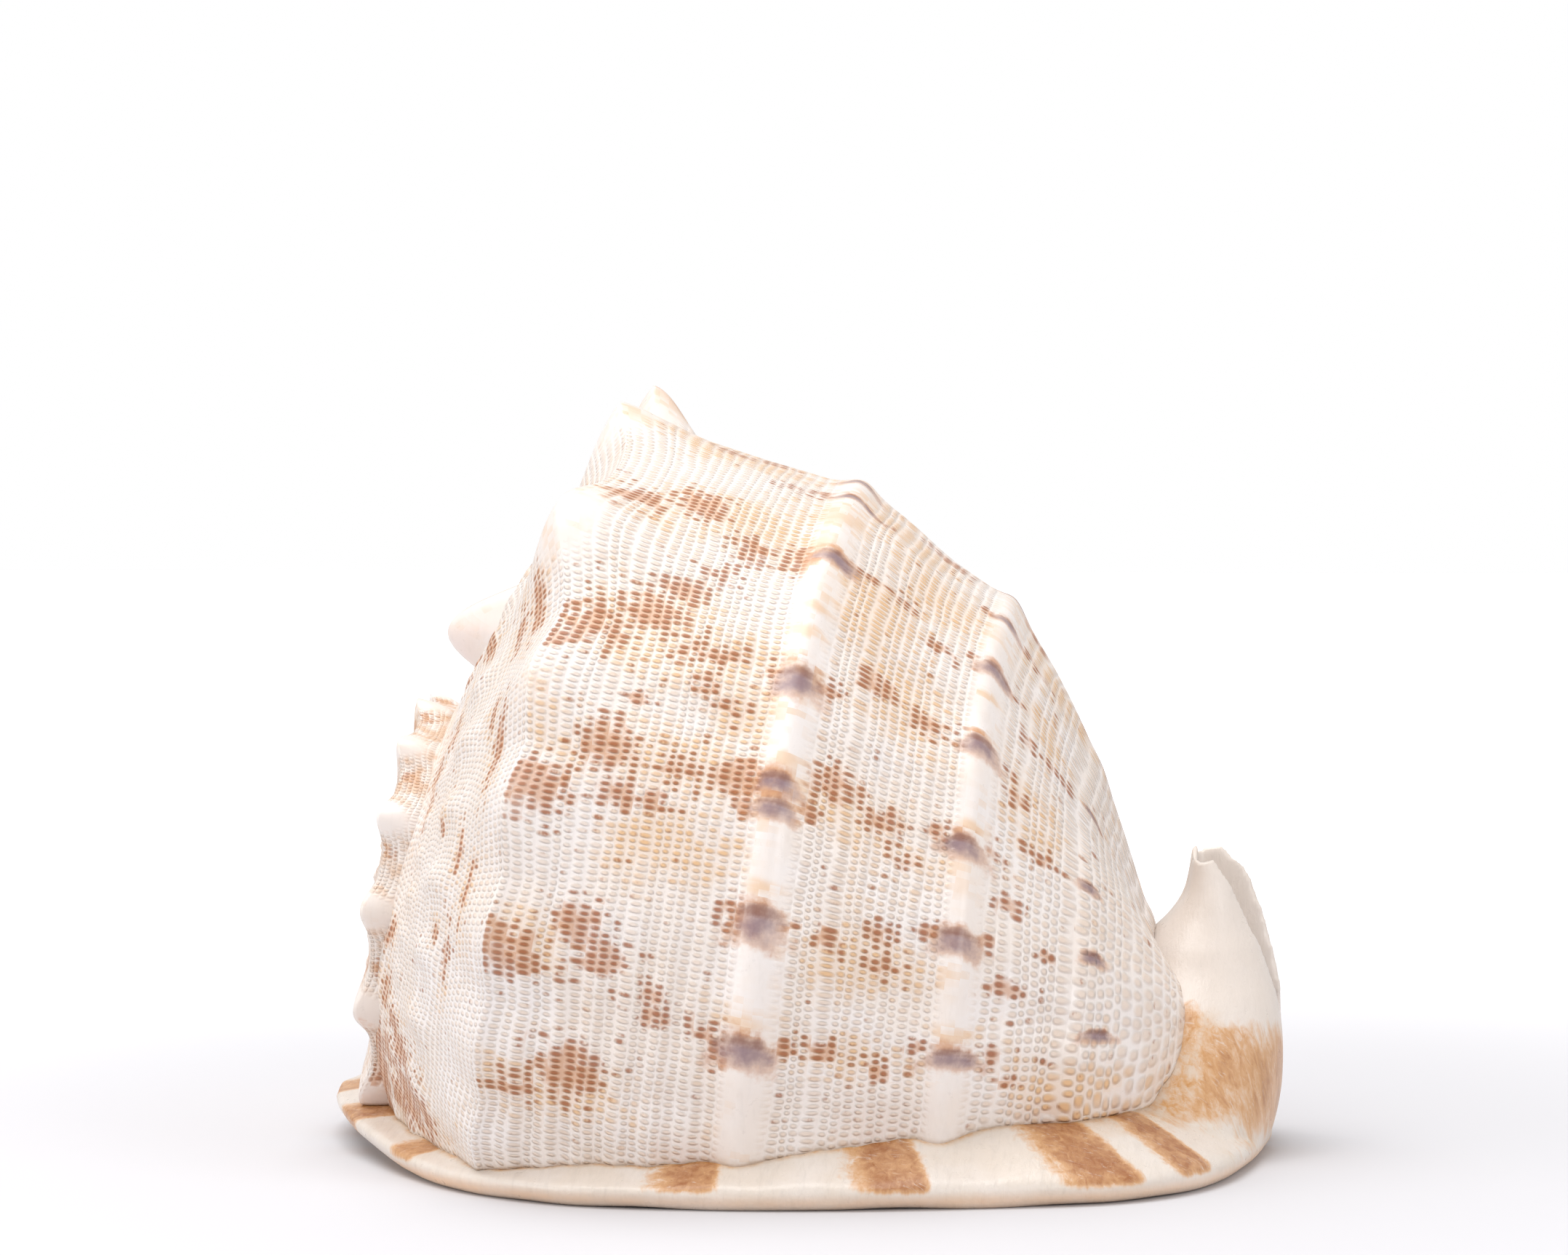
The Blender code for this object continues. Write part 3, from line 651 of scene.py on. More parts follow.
def settleOnBase(points, lipMesh):
    # finds what lies inside the flange or over the opening, and bends the rest softly onto the base
    tree = BVHTree.FromPolygons([Vector(p) for p in meshPoints(lipMesh)], meshQuads(lipMesh).tolist())
    inside = np.zeros(len(points), bool)
    grime = np.zeros(len(points))
    settled = points.copy()
    outline = closedCurve(lipBase["outline"], 240)
    deep = insetCurve(outline, 11.0)
    onFlange, onCanal = outerShell["settleReach"]
    low = np.where(points[:, 2] < 54)[0]
    for k in low:
        p = points[k]
        if p[2] > 16 and p[0] < 30:
            continue
        spot, normal, _, distance = tree.find_nearest(Vector(p), 5.0)
        if spot is None:
            continue
        behind = (Vector(p) - spot).dot(normal) < 0
        inside[k] = behind and distance > 1.3
        # dirt and painted shade in the crease where the turn meets the flange and the canal: full behind them,
        # fading within a few millimetres
        grime[k] = 1.0 if behind else math.exp(-(distance / 1.5) ** 1.5)
        # the turn settles softly onto the flange and the canal
        hug = onFlange + (onCanal - onFlange) * float(easeBetween(p[0], 44, 60))
        if not behind and distance < hug:
            settled[k] = np.array(spot) + (p - np.array(spot)) * (distance / hug)
    fromMiddle = points[:, :2] - deep.mean(0)
    bearing = np.arctan2(fromMiddle[:, 1], fromMiddle[:, 0])
    edge = deep - deep.mean(0)
    edgeBearing = np.arctan2(edge[:, 1], edge[:, 0])
    order = np.argsort(edgeBearing)
    limit = np.interp(bearing, edgeBearing[order], np.hypot(edge[:, 0], edge[:, 1])[order], period=2 * math.pi)
    inside |= (points[:, 2] < flangeHeight(12.0, points[:, 0]) - 1.7) & (
        np.hypot(fromMiddle[:, 0], fromMiddle[:, 1]) < limit)
    inside |= points[:, 2] < 0.6
    seamSpots = settled[(grime > 0.5) & ~inside]
    seamTree = KDTree(len(seamSpots))
    for k, p in enumerate(seamSpots):
        seamTree.insert(p, k)
    seamTree.balance()
    lipPoints = meshPoints(lipMesh)
    seam = np.zeros(len(lipPoints))
    for k in np.where(lipPoints[:, 2] > 4)[0]:
        reach = 1.4 + 6.5 * float(easeBetween(lipPoints[k, 0], 48, 64))
        seam[k] = math.exp(-(seamTree.find(lipPoints[k])[2] / reach) ** 2) * (
            1 - float(easeBetween(lipPoints[k, 2], 22, 31)))
    paintField(lipMesh, "seam", seam)
    return settled, inside, grime


def makeOuterShell(lipMesh):
    angles = np.arange(outerShell["firstAngle"], 180.01, outerShell["angleStep"])
    rows, turnRows = len(angles), round(360 / outerShell["angleStep"])
    rampCount, sideCount, flankCount = (
        outerShell["rampColumns"], outerShell["sideColumns"], outerShell["flankColumns"])
    cumulative = np.concatenate(
        [[0], np.cumsum(coilRadius((angles[1:] + angles[:-1]) / 2) * math.radians(outerShell["angleStep"]))])
    cumulative = cumulative - np.interp(0, angles, cumulative)
    # pits grow with the shell, so the earlier turns carry a finer lattice
    finer = 1 + 0.9 * easeBetween(-angles, 150, 330)
    latticeAlong = np.concatenate([[0], np.cumsum(np.diff(cumulative) * finer[1:])])
    latticeAlong = latticeAlong - np.interp(0, angles, latticeAlong)
    out, back, height = hornAt(angles)

    # ramp, from the suture to the shoulder
    share = np.linspace(0, 1, rampCount + 1)[None]
    angle = angles[:, None] + 0 * share
    startRadius, startReach = shoulderAt(angles - 360)
    startReach = startReach + coil["sutureDrop"] * startRadius * (1 - 0.8 * easeBetween(angles, 50, 125))
    endRadius, endReach = shoulderAt(angles)
    length = np.hypot(endRadius - startRadius, endReach - startReach)[:, None]
    rise = np.exp(-((1 - share) / 0.25) ** 2)
    sag = 0.05 * (endRadius - startRadius)[:, None] * np.sin(np.pi * share)
    late = easeBetween(angle, -420, -180)
    grown = easeBetween(length, 4, 40)
    nodule = (
        np.exp(-((share - 0.5) / 0.10) ** 2) * np.cos(np.pi * (angle - 4) / 11.5) ** 4
        * (0.25 + 0.75 * late) * 1.3 * grown
    )
    nodule += np.exp(-((share - 0.22) / 0.06) ** 2) * np.cos(np.pi * (angle - 9) / 8.0) ** 4 * 0.55 * grown
    welt = np.exp(-(share / 0.05) ** 2) * 0.5 * grown
    uneven = (
        0.22 * ripple(cumulative[:, None] + 0 * share, -length * (1 - share), 11, 22)
        * np.sin(np.pi * share) * grown
    )
    radius = startRadius[:, None] + (endRadius - startRadius)[:, None] * share + out[:, None] * rise
    reach = (
        startReach[:, None] + (endReach - startReach)[:, None] * share - sag - back[:, None] * rise - nodule
        - welt - uneven
    )
    rampPoints = placeOnCoil(radius, angle, reach)
    rampAcross = -(1 - share) * length
    rampHorn = height[:, None] * np.exp(-((1 - share) / 0.17) ** 2)

    # side of the earlier turns, down to the next suture
    sideRows = round((-180 - outerShell["firstAngle"]) / outerShell["angleStep"]) + 1
    share = np.linspace(0, 1, sideCount + 1)[None, 1:]
    angle = angles[:sideRows, None] + 0 * share
    depth = coil["sutureDrop"] * endRadius[:sideRows, None] * share
    rise = np.exp(-(depth / (coil["baseReach"] - endReach[:sideRows, None]) / 0.09) ** 2) * (1 - share ** 3)
    sidePoints = placeOnCoil(
        endRadius[:sideRows, None] + out[:sideRows, None] * rise, angle,
        endReach[:sideRows, None] + depth - back[:sideRows, None] * rise)
    sideAcross = depth
    sideHorn = height[:sideRows, None] * (1 - share) ** 0.5

    # flank of the last turn, down to the base
    first = sideRows - 1
    share = np.linspace(0, 1, flankCount + 1)[None, 1:]
    angle = angles[first:, None] + 0 * share
    rise = np.exp(-(share / 0.09) ** 2)
    along = cumulative[first:, None] + 0 * share
    across = share * outerShell["flankSpan"] + 0 * angle
    keelBand = sum(np.exp(-np.abs((share - at) / (width * 1.1)) ** 4) for at, width, _ in coil["keels"])
    cords = (
        0.3 * np.cos(2 * np.pi * across / 5.2 + ripple(along, across, 13, 60))
        * easeBetween(angle, 74, 92) * (1 - easeBetween(share, 0.27, 0.34))
    )
    cords += 0.16 * np.cos(2 * np.pi * across / 4.1) * easeBetween(share, 0.40, 0.46) * (
        1 - easeBetween(share, 0.58, 0.60)) * easeBetween(angle, 40, 80)
    folds = 0.35 * ripple(along, across * 0.12, 14, 13) * (1 - 0.6 * keelBand)
    tertiary = 0.7 * np.exp(-((share - 0.82) / 0.02) ** 2)
    radius = (
        flankRadius(angle, share) + out[first:, None] * rise + 0.3 * ripple(along, across, 12, 30) * (1 - rise)
        + cords + folds * (1 - rise) + tertiary
    )
    drawn = 2.6 * easeBetween(share, 0.86, 1.0) * lipShare(angle)
    flankPoints = placeOnCoil(radius, angle, flankReach(angle, share) - back[first:, None] * rise - drawn)
    flankHorn = height[first:, None] * np.exp(-(share / 0.06) ** 2)

    parts = [
        (rampPoints, rampAcross, rampHorn, angles[:, None], 0),
        (sidePoints, sideAcross, sideHorn, angles[:sideRows, None], 1),
        (flankPoints, across, flankHorn, angles[first:, None], 2)]
    points = np.concatenate(
        [part[0].reshape(-1, 3) for part in parts]
        + [placeOnCoil(np.array([0.0]), np.array([0.0]), np.array([-1.6]))])
    tip = len(points) - 1
    pad = lambda values: np.concatenate([np.asarray(v, float).reshape(-1) for v in values] + [np.zeros(1)])
    acrossAll = pad([np.broadcast_to(part[1], part[0].shape[:2]) for part in parts])
    hornAll = pad([np.broadcast_to(part[2], part[0].shape[:2]) for part in parts])
    angleAll = pad([np.broadcast_to(part[3], part[0].shape[:2]) for part in parts])
    angleAll[tip] = angles[0]
    alongAll = np.interp(angleAll, angles, latticeAlong)
    zone = pad([np.full(part[0].shape[:2], part[4]) for part in parts])

    ramp = np.arange(rows * (rampCount + 1)).reshape(rows, rampCount + 1)
    side = ramp.size + np.arange(sideRows * sideCount).reshape(sideRows, sideCount)
    flank = ramp.size + side.size + np.arange((rows - first) * flankCount).reshape(rows - first, flankCount)
    side = np.concatenate([ramp[:sideRows, -1:], side], axis=1)
    flank = np.concatenate([ramp[first:, -1:], flank], axis=1)
    quads = []
    for sheet in (ramp, side, flank):
        quads.append(
            np.stack([sheet[:-1, :-1], sheet[1:, :-1], sheet[1:, 1:], sheet[:-1, 1:]], axis=-1).reshape(-1, 4))
    quads = np.concatenate(quads)[:, ::-1]
    cap = ramp[:turnRows + 1, 0]
    triangles = np.stack([np.full(turnRows, tip), cap[:-1], cap[1:]], axis=1)

    points, inside, grime = settleOnBase(points, lipMesh)
    quads = quads[~inside[quads].all(axis=1)]
    quads = quads[(points[quads][:, :, 2] > 0.4).all(axis=1)]
    used = np.zeros(len(points), bool)
    used[quads] = True
    used[triangles] = True
    renumber = np.cumsum(used) - 1
    mesh = buildMesh("outerShell", points[used], renumber[quads], renumber[triangles])
    print("outer shell:", len(mesh.polygons), "faces")

    # growth coordinates, in millimetres, for the pits
    corners = np.empty(len(mesh.loops), np.int32)
    mesh.loops.foreach_get("vertex_index", corners)
    growth = np.stack([alongAll, acrossAll * np.interp(angleAll, angles, finer)], axis=1)[used]
    layer = mesh.uv_layers.new(name="growth")
    layer.uv.foreach_set("vector", growth[corners].astype(np.float32).ravel())

    span = outerShell["flankSpan"]
    rust, amber, plum, rampRust = makeSpots()
    onRamp = zone == 0
    fieldRust = np.where(onRamp, spotField(angleAll, acrossAll, rampRust), spotField(angleAll, acrossAll, rust))
    fieldAmber = np.where(
        onRamp,
        0.75 * spotField(angleAll, acrossAll, [(a, m, l * 1.8, w * 2.2, s) for a, m, l, w, s in rampRust]),
        spotField(angleAll, acrossAll, amber))
    fieldPlum = np.where(zone == 2, spotField(angleAll, acrossAll, plum, outerShell["arcBend"]), 0)
    # a darker arc along the upper edge of each plum spot
    arcs = [
        (at - along * 0.42, middle, max(along * 0.42, 0.9), wide * 0.95, strength)
        for at, middle, along, wide, strength in plum]
    fieldRim = np.where(zone == 2, spotField(angleAll, acrossAll, arcs, outerShell["arcBend"]), 0)
    flankShareAll = acrossAll / span
    polish = np.zeros(len(points))
    for at, width, _ in coil["keels"]:
        polish = np.maximum(polish, np.exp(-np.abs((flankShareAll - at) / (width * 1.12)) ** 6) * (zone == 2))
    polish = np.maximum(polish, easeBetween(hornAll, 1.5, 5.0))
    early = (zone == 1) | ((zone == 0) & (angleAll < -220))
    polish = np.maximum(
        polish, np.where(early, easeBetween(hornAll / np.maximum(coilRadius(angleAll), 1), 0.02, 0.05), 0))
    # a line of dirt and painted shade along the suture groove
    suture = np.where(
        onRamp & (angleAll > -1000),
        np.exp(-((acrossAll + np.interp(angleAll, angles, length[:, 0])) / 0.7) ** 2), 0)
    for name, values in (
        ("rust", fieldRust), ("amber", fieldAmber), ("plum", fieldPlum), ("plumRim", fieldRim),
        ("polish", polish), ("grime", np.maximum(grime, 0.8 * suture)),
        ("hornTint", easeBetween(hornAll, 5, 16)), ("spire", easeBetween(-angleAll, 150, 330))):
        paintField(mesh, name, values[used])
    return addPiece("outerShell", mesh)


# Smooth inside of the last turn, seen through the opening.
mouthLining = {
    "wall": 5.5,
    "firstAngle": -50,
    "lastAngle": 120,
    "floor": 8.0,
    "pointsRound": 72,
    "relief": 0.00015,
}


def makeMouthLining():
    rings = []
    for angle in np.arange(mouthLining["firstAngle"], mouthLining["lastAngle"] + 0.1, 2.5):
        radius, reach = (float(v) for v in shoulderAt(np.array(angle)))
        before = float(shoulderAt(np.array(angle - 360))[0])
        at = np.array(float(angle))
        outer = [
            (float(flankRadius(at, f)) - mouthLining["wall"], float(flankReach(at, f)))
            for f in (0.08, 0.17, 0.26, 0.36, 0.46, 0.56, 0.66, 0.74, 0.80)]
        inner = [
            (max(7.0, before * share + 5.0), float(flankReach(at, f)))
            for f, share in ((0.80, 0.30), (0.66, 0.45), (0.50, 0.60), (0.34, 0.85), (0.18, 1.0), (0.09, 1.05))]
        section = np.array(outer + inner + [(0.55 * radius + 0.45 * (before + 5.0), reach + 5.5)])
        shrink = 1.0 if angle > 0 else 1.0 + 0.45 * angle / 50
        middle = section.mean(0)
        section = closedCurve(middle + (section - middle) * shrink, mouthLining["pointsRound"])
        ring = placeOnCoil(section[:, 0], np.full(len(section), float(angle)), section[:, 1])
        ring[:, 2] = np.maximum(ring[:, 2], mouthLining["floor"])
        rings.append(ring)
    points, quads, triangles = stackRings(rings)
    floor = mouthLining["floor"] + 0.02
    quads = quads[~(points[quads][:, :, 2] < floor).all(axis=1)]
    triangles = triangles[~(points[triangles][:, :, 2] < floor).all(axis=1)]
    mesh = buildMesh("mouthLining", points, quads, triangles)
    faces = np.empty(len(mesh.polygons) * 3, np.float32)
    mesh.polygons.foreach_get("normal", faces)
    centres = np.empty(len(mesh.polygons) * 3, np.float32)
    mesh.polygons.foreach_get("center", centres)
    centres = centres.reshape(-1, 3)
    if ((centres - centres.mean(0)) * faces.reshape(-1, 3)).sum() > 0:
        mesh.flip_normals()
    depth = 1 - easeBetween(points[:, 2], 10, 45)
    paintField(mesh, "daylight", depth)
    print("mouth lining:", len(mesh.polygons), "faces")
    return addPiece("mouthLining", mesh)


# Colours of the finishes, as linear values.
finishes = {
    "ivory": (0.82, 0.735, 0.675),
    "chalk": (0.85, 0.80, 0.78),
    "pitTan": (0.66, 0.48, 0.34),
    "amber": (0.74, 0.44, 0.20),
    "rust": (0.55, 0.225, 0.07),
    "rustDeep": (0.33, 0.10, 0.035),
    "plum": (0.25, 0.165, 0.19),
    "plumDeep": (0.24, 0.10, 0.06),
    "spireTan": (0.66, 0.38, 0.20),
    "dirt": (0.42, 0.28, 0.17),
    "lipCream": (0.70, 0.615, 0.535),
    "lipPale": (0.75, 0.685, 0.635),
    "bar": (0.30, 0.10, 0.028),
    "barGlow": (0.62, 0.285, 0.06),
    "seamTan": (0.66, 0.48, 0.33),
    "canalBeige": (0.77, 0.69, 0.635),
    "peach": (0.80, 0.47, 0.24),
    "gullet": (0.52, 0.19, 0.07),
    "hornBlush": (0.82, 0.62, 0.56),
    "toothCream": (0.86, 0.76, 0.64),
}


class Wiring:
    # places and joins the nodes of one tree by short calls
    def __init__(self, tree):
        self.tree = tree

    def add(self, kind, **settings):
        node = self.tree.nodes.new(kind)
        for name, value in settings.items():
            setattr(node, name, value)
        return node

    def join(self, value, socket):
        if isinstance(value, bpy.types.NodeSocket):
            self.tree.links.new(value, socket)
        elif isinstance(value, tuple):
            socket.default_value = (*value, 1)
        else:
            socket.default_value = value

    def calc(self, operation, *values):
        node = self.add("ShaderNodeMath", operation=operation)
        for socket, value in zip(node.inputs, values):
            self.join(value, socket)
        return node.outputs[0]

    def plus(self, first, second):
        return self.calc("ADD", first, second)

    def minus(self, first, second):
        return self.calc("SUBTRACT", first, second)

    def times(self, first, second):
        return self.calc("MULTIPLY", first, second)

    def over(self, first, second):
        return self.calc("DIVIDE", first, second)

    def swing(self, value, size):
        # noise moved to both sides of nought
        return self.times(self.minus(value, 0.5), size)

    def ease(self, value, low, high, top=1.0):
        node = self.add("ShaderNodeMapRange", interpolation_type="SMOOTHSTEP")
        for name, number in (
            ("Value", value), ("From Min", low), ("From Max", high), ("To Min", 0.0), ("To Max", top)):
            self.join(number, node.inputs[name])
        return node.outputs["Result"]

    def tint(self, mask, under, over):
        node = self.add("ShaderNodeMix", data_type="RGBA")
        for name, value in (("Factor", mask), ("A", under), ("B", over)):
            self.join(value, next(s for s in node.inputs if s.name == name and s.enabled))
        return next(s for s in node.outputs if s.enabled)

    def noise(self, place, scale, detail=2.0, rough=0.5, twist=0.0, flat=False):
        node = self.add("ShaderNodeTexNoise", noise_dimensions="1D" if flat else "3D")
        self.join(place, node.inputs["W" if flat else "Vector"])
        for name, value in (("Scale", scale), ("Detail", detail), ("Roughness", rough), ("Distortion", twist)):
            self.join(value, node.inputs[name])
        return node.outputs["Fac"]

    def stretch(self, place, sizes, turn=(0, 0, 0)):
        node = self.add("ShaderNodeMapping")
        self.join(place, node.inputs["Vector"])
        node.inputs["Scale"].default_value = sizes
        node.inputs["Rotation"].default_value = turn
        return node.outputs["Vector"]

    def fields(self, *names):
        return [self.add("ShaderNodeAttribute", attribute_name=name).outputs["Fac"] for name in names]

    def group(self, tree, **values):
        # values are named like the group's inputs, in camelCase
        node = self.add("ShaderNodeGroup", node_tree=tree)
        for name, value in values.items():
            label = "".join(" " + letter if letter.isupper() else letter for letter in name)
            self.join(value, node.inputs[label[0].upper() + label[1:]])
        return node

    def relief(self, shader, height, distance):
        bump = self.add("ShaderNodeBump")
        bump.inputs["Strength"].default_value = 1.0
        bump.inputs["Distance"].default_value = distance
        self.join(height, bump.inputs["Height"])
        self.join(bump.outputs["Normal"], shader.inputs["Normal"])


def newGroup(name, takes, gives):
    tree = bpy.data.node_groups.new(name, "ShaderNodeTree")
    for direction, sockets in (("INPUT", takes), ("OUTPUT", gives)):
        for label, kind in sockets.items():
            tree.interface.new_socket(name=label, in_out=direction, socket_type="NodeSocket" + kind)
    return Wiring(tree), tree.nodes.new("NodeGroupInput").outputs, tree.nodes.new("NodeGroupOutput").inputs


def makePitGroup():
    # rows of pits in columns that run along the turn
    w, takes, gives = newGroup(
        "pitLattice",
        {"Along": "Float", "Across": "Float", "Column Width": "Float"},
        {"Pit": "Float", "Chance": "Float", "Cord": "Float"})
    along, across, columnWidth = (takes[name] for name in ("Along", "Across", "Column Width"))
    slow = w.add("ShaderNodeCombineXYZ")
    w.join(w.times(along, 0.05), slow.inputs[0])
    w.join(w.times(across, 0.07), slow.inputs[1])
    sway = w.swing(w.noise(slow.outputs[0], 1.0, 2.0), 1.6)
    widen = w.swing(w.noise(across, 0.16, 1.0, flat=True), 2.6)
    warped = w.over(w.plus(w.plus(across, widen), sway), columnWidth)
    column = w.calc("FLOOR", warped)
    sideways = w.minus(w.minus(warped, column), 0.5)
    # pits per millimetre, by column
    firstColumn, lastColumn = outerShell["latticeReach"]
    table = outerShell["pitsPerMm"]
    spacing = w.add("ShaderNodeFloatCurve")
    curve = spacing.mapping.curves[0]
    curve.points[0].location, curve.points[1].location = table[0], table[-1]
    for spot in table[1:-1]:
        curve.points.new(*spot)
    spacing.mapping.update()
    middle = w.times(w.plus(column, 0.5), columnWidth)
    w.join(w.over(w.minus(middle, firstColumn), lastColumn - firstColumn), spacing.inputs["Value"])
    fixed = w.add("ShaderNodeTexWhiteNoise", noise_dimensions="1D")
    w.join(column, fixed.inputs["W"])
    stagger = w.plus(w.times(column, 0.5), w.times(fixed.outputs["Value"], 0.16))
    lengthwise = w.plus(w.times(along, spacing.outputs[0]), stagger)
    row = w.calc("FLOOR", lengthwise)
    onward = w.minus(w.minus(lengthwise, row), 0.5)
    cell = w.add("ShaderNodeCombineXYZ")
    w.join(column, cell.inputs[0])
    w.join(row, cell.inputs[1])
    luck = w.add("ShaderNodeTexWhiteNoise", noise_dimensions="2D")
    w.join(cell.outputs[0], luck.inputs["Vector"])
    parts = w.add("ShaderNodeSeparateColor")
    w.join(luck.outputs["Color"], parts.inputs[0])
    base = w.ease(across, 78, 96)
    wander = w.plus(0.12, w.times(base, 0.16))
    shiftSide = w.swing(parts.outputs[0], wander)
    shiftAlong = w.swing(parts.outputs[1], wander)
    size = w.plus(w.plus(0.82, w.times(parts.outputs[2], 0.3)), w.times(base, 0.14))
    a = w.calc("POWER", w.calc("ABSOLUTE", w.over(w.plus(sideways, shiftSide), 0.455)), 2.1)
    b = w.calc("POWER", w.calc("ABSOLUTE", w.over(w.plus(onward, shiftAlong), 0.425)), 2.1)
    ring = w.over(w.calc("POWER", w.plus(a, b), 1 / 2.1), size)
    pit = w.minus(1.0, w.ease(ring, 0.35, 1.12))
    w.join(pit, gives["Pit"])
    w.join(luck.outputs["Value"], gives["Chance"])
    w.join(w.ease(w.calc("ABSOLUTE", sideways), 0.3, 0.5), gives["Cord"])
    return w.tree


def makeEnamelGroup():
    # faint cloudiness, fibres and fine wear of old shell
    w, takes, gives = newGroup(
        "oldEnamel",
        {"Place": "Vector", "Colour": "Color", "Pale": "Color", "Cloud": "Float", "Fibre": "Float"},
        {"Colour": "Color", "Roughness": "Float", "Relief": "Float"})
    place = takes["Place"]
    cloud = w.ease(w.noise(place, 75, 4.0, 0.6), 0.35, 0.7)
    fibre = w.noise(w.stretch(place, (900, 160, 260)), 1.0, 4.0, 0.65, 0.6)
    first = w.tint(w.times(cloud, takes["Cloud"]), takes["Colour"], takes["Pale"])
    shade = w.minus(1.0, w.times(w.ease(fibre, 0.45, 0.8), takes["Fibre"]))
    node = w.add("ShaderNodeVectorMath", operation="SCALE")
    w.join(first, node.inputs[0])
    w.join(shade, node.inputs["Scale"])
    w.join(node.outputs[0], gives["Colour"])
    scuff = w.noise(place, 520, 3.0, 0.6)
    w.join(w.plus(0.2, w.times(scuff, 0.22)), gives["Roughness"])
    w.join(w.plus(w.times(fibre, 0.5), w.times(scuff, 0.3)), gives["Relief"])
    return w.tree


def newFinish(name):
    material = bpy.data.materials.new(name)
    material.use_nodes = True
    w = Wiring(material.node_tree)
    place = w.add("ShaderNodeTexCoord").outputs["Object"]
    return material, w, material.node_tree.nodes["Principled BSDF"], place


def makePittedFinish(pitGroup, enamelGroup):
    material, w, shader, place = newFinish("pittedShell")
    growth = w.add("ShaderNodeUVMap", uv_map="growth")
    split = w.add("ShaderNodeSeparateXYZ")
    w.join(growth.outputs[0], split.inputs[0])
    pits = w.group(
        pitGroup, along=split.outputs[0], across=split.outputs[1], columnWidth=outerShell["columnWidth"])
    enamel = w.group(
        enamelGroup, place=place, colour=finishes["ivory"], pale=finishes["chalk"], cloud=0.8, fibre=0.05)
    rust, amber, plum, rim = w.fields("rust", "amber", "plum", "plumRim")
    polish, grime, horn, spire = w.fields("polish", "grime", "hornTint", "spire")
    rough = w.minus(1.0, polish)
    calm = w.minus(1.0, w.times(spire, 0.4))
    openPit = w.times(w.times(pits.outputs["Pit"], rough), calm)
    patch = w.noise(place, 330, 3.0, 0.6)
    broad = w.noise(place, 95, 3.0, 0.55)
    # an uneven tan film lies in the pits
    depth = w.times(openPit, w.plus(0.24, w.times(broad, 0.42)))
    colour = w.tint(depth, enamel.outputs["Colour"], finishes["pitTan"])
    jitter = w.swing(pits.outputs["Chance"], 0.6)
    wash = w.plus(w.swing(broad, 1.5), w.times(jitter, 0.9))
    amberField = w.ease(w.plus(amber, wash), 0.15, 1.0)
    amberMask = w.times(amberField, w.plus(w.plus(0.26, w.times(polish, 0.3)), w.times(openPit, 0.55)))
    colour = w.tint(amberMask, colour, finishes["amber"])
    rustField = w.plus(rust, w.swing(patch, 1.25))
    rustField = w.minus(rustField, w.times(w.times(polish, spire), 0.8))
    soft = w.ease(w.plus(rustField, w.times(jitter, 0.6)), 0.30, 0.95, 0.60)
    colour = w.tint(soft, colour, finishes["rust"])
    single = w.times(w.ease(w.plus(rustField, jitter), 0.30, 0.5), openPit)
    colour = w.tint(w.times(single, 0.85), colour, finishes["rustDeep"])
    plumField = w.plus(plum, w.swing(patch, 0.9))
    colour = w.tint(w.ease(plumField, 0.22, 0.55, 0.45), colour, finishes["rust"])
    colour = w.tint(w.ease(plumField, 0.36, 1.1, 0.92), colour, finishes["plum"])
    rimField = w.plus(rim, w.swing(patch, 0.9))
    colour = w.tint(w.ease(rimField, 0.40, 1.05, 0.75), colour, finishes["plumDeep"])
    colour = w.tint(w.times(horn, 0.25), colour, finishes["hornBlush"])
    colour = w.tint(
        w.times(w.times(spire, rough), w.ease(patch, 0.40, 0.60, 0.65)), colour, finishes["spireTan"])
    # brown dirt and painted shade in the creases at the flange, the canal and the sutures
    dirtAndShadeAmount = w.ease(w.plus(w.times(grime, 0.95), w.swing(patch, 0.7)), 0.35, 1.1, 0.8)
    colour = w.tint(dirtAndShadeAmount, colour, finishes["dirt"])
    w.join(colour, shader.inputs["Base Color"])
    w.join(w.plus(enamel.outputs["Roughness"], w.times(openPit, 0.16)), shader.inputs["Roughness"])
    height = w.minus(w.times(w.times(pits.outputs["Cord"], rough), 0.15), openPit)
    # the net stands higher at the base
    height = w.times(height, w.plus(w.ease(split.outputs[1], 76, 92, 0.4), 1.0))
    height = w.plus(height, w.times(enamel.outputs["Relief"], 0.12))
    w.relief(shader, height, outerShell["pitRelief"])
    return material


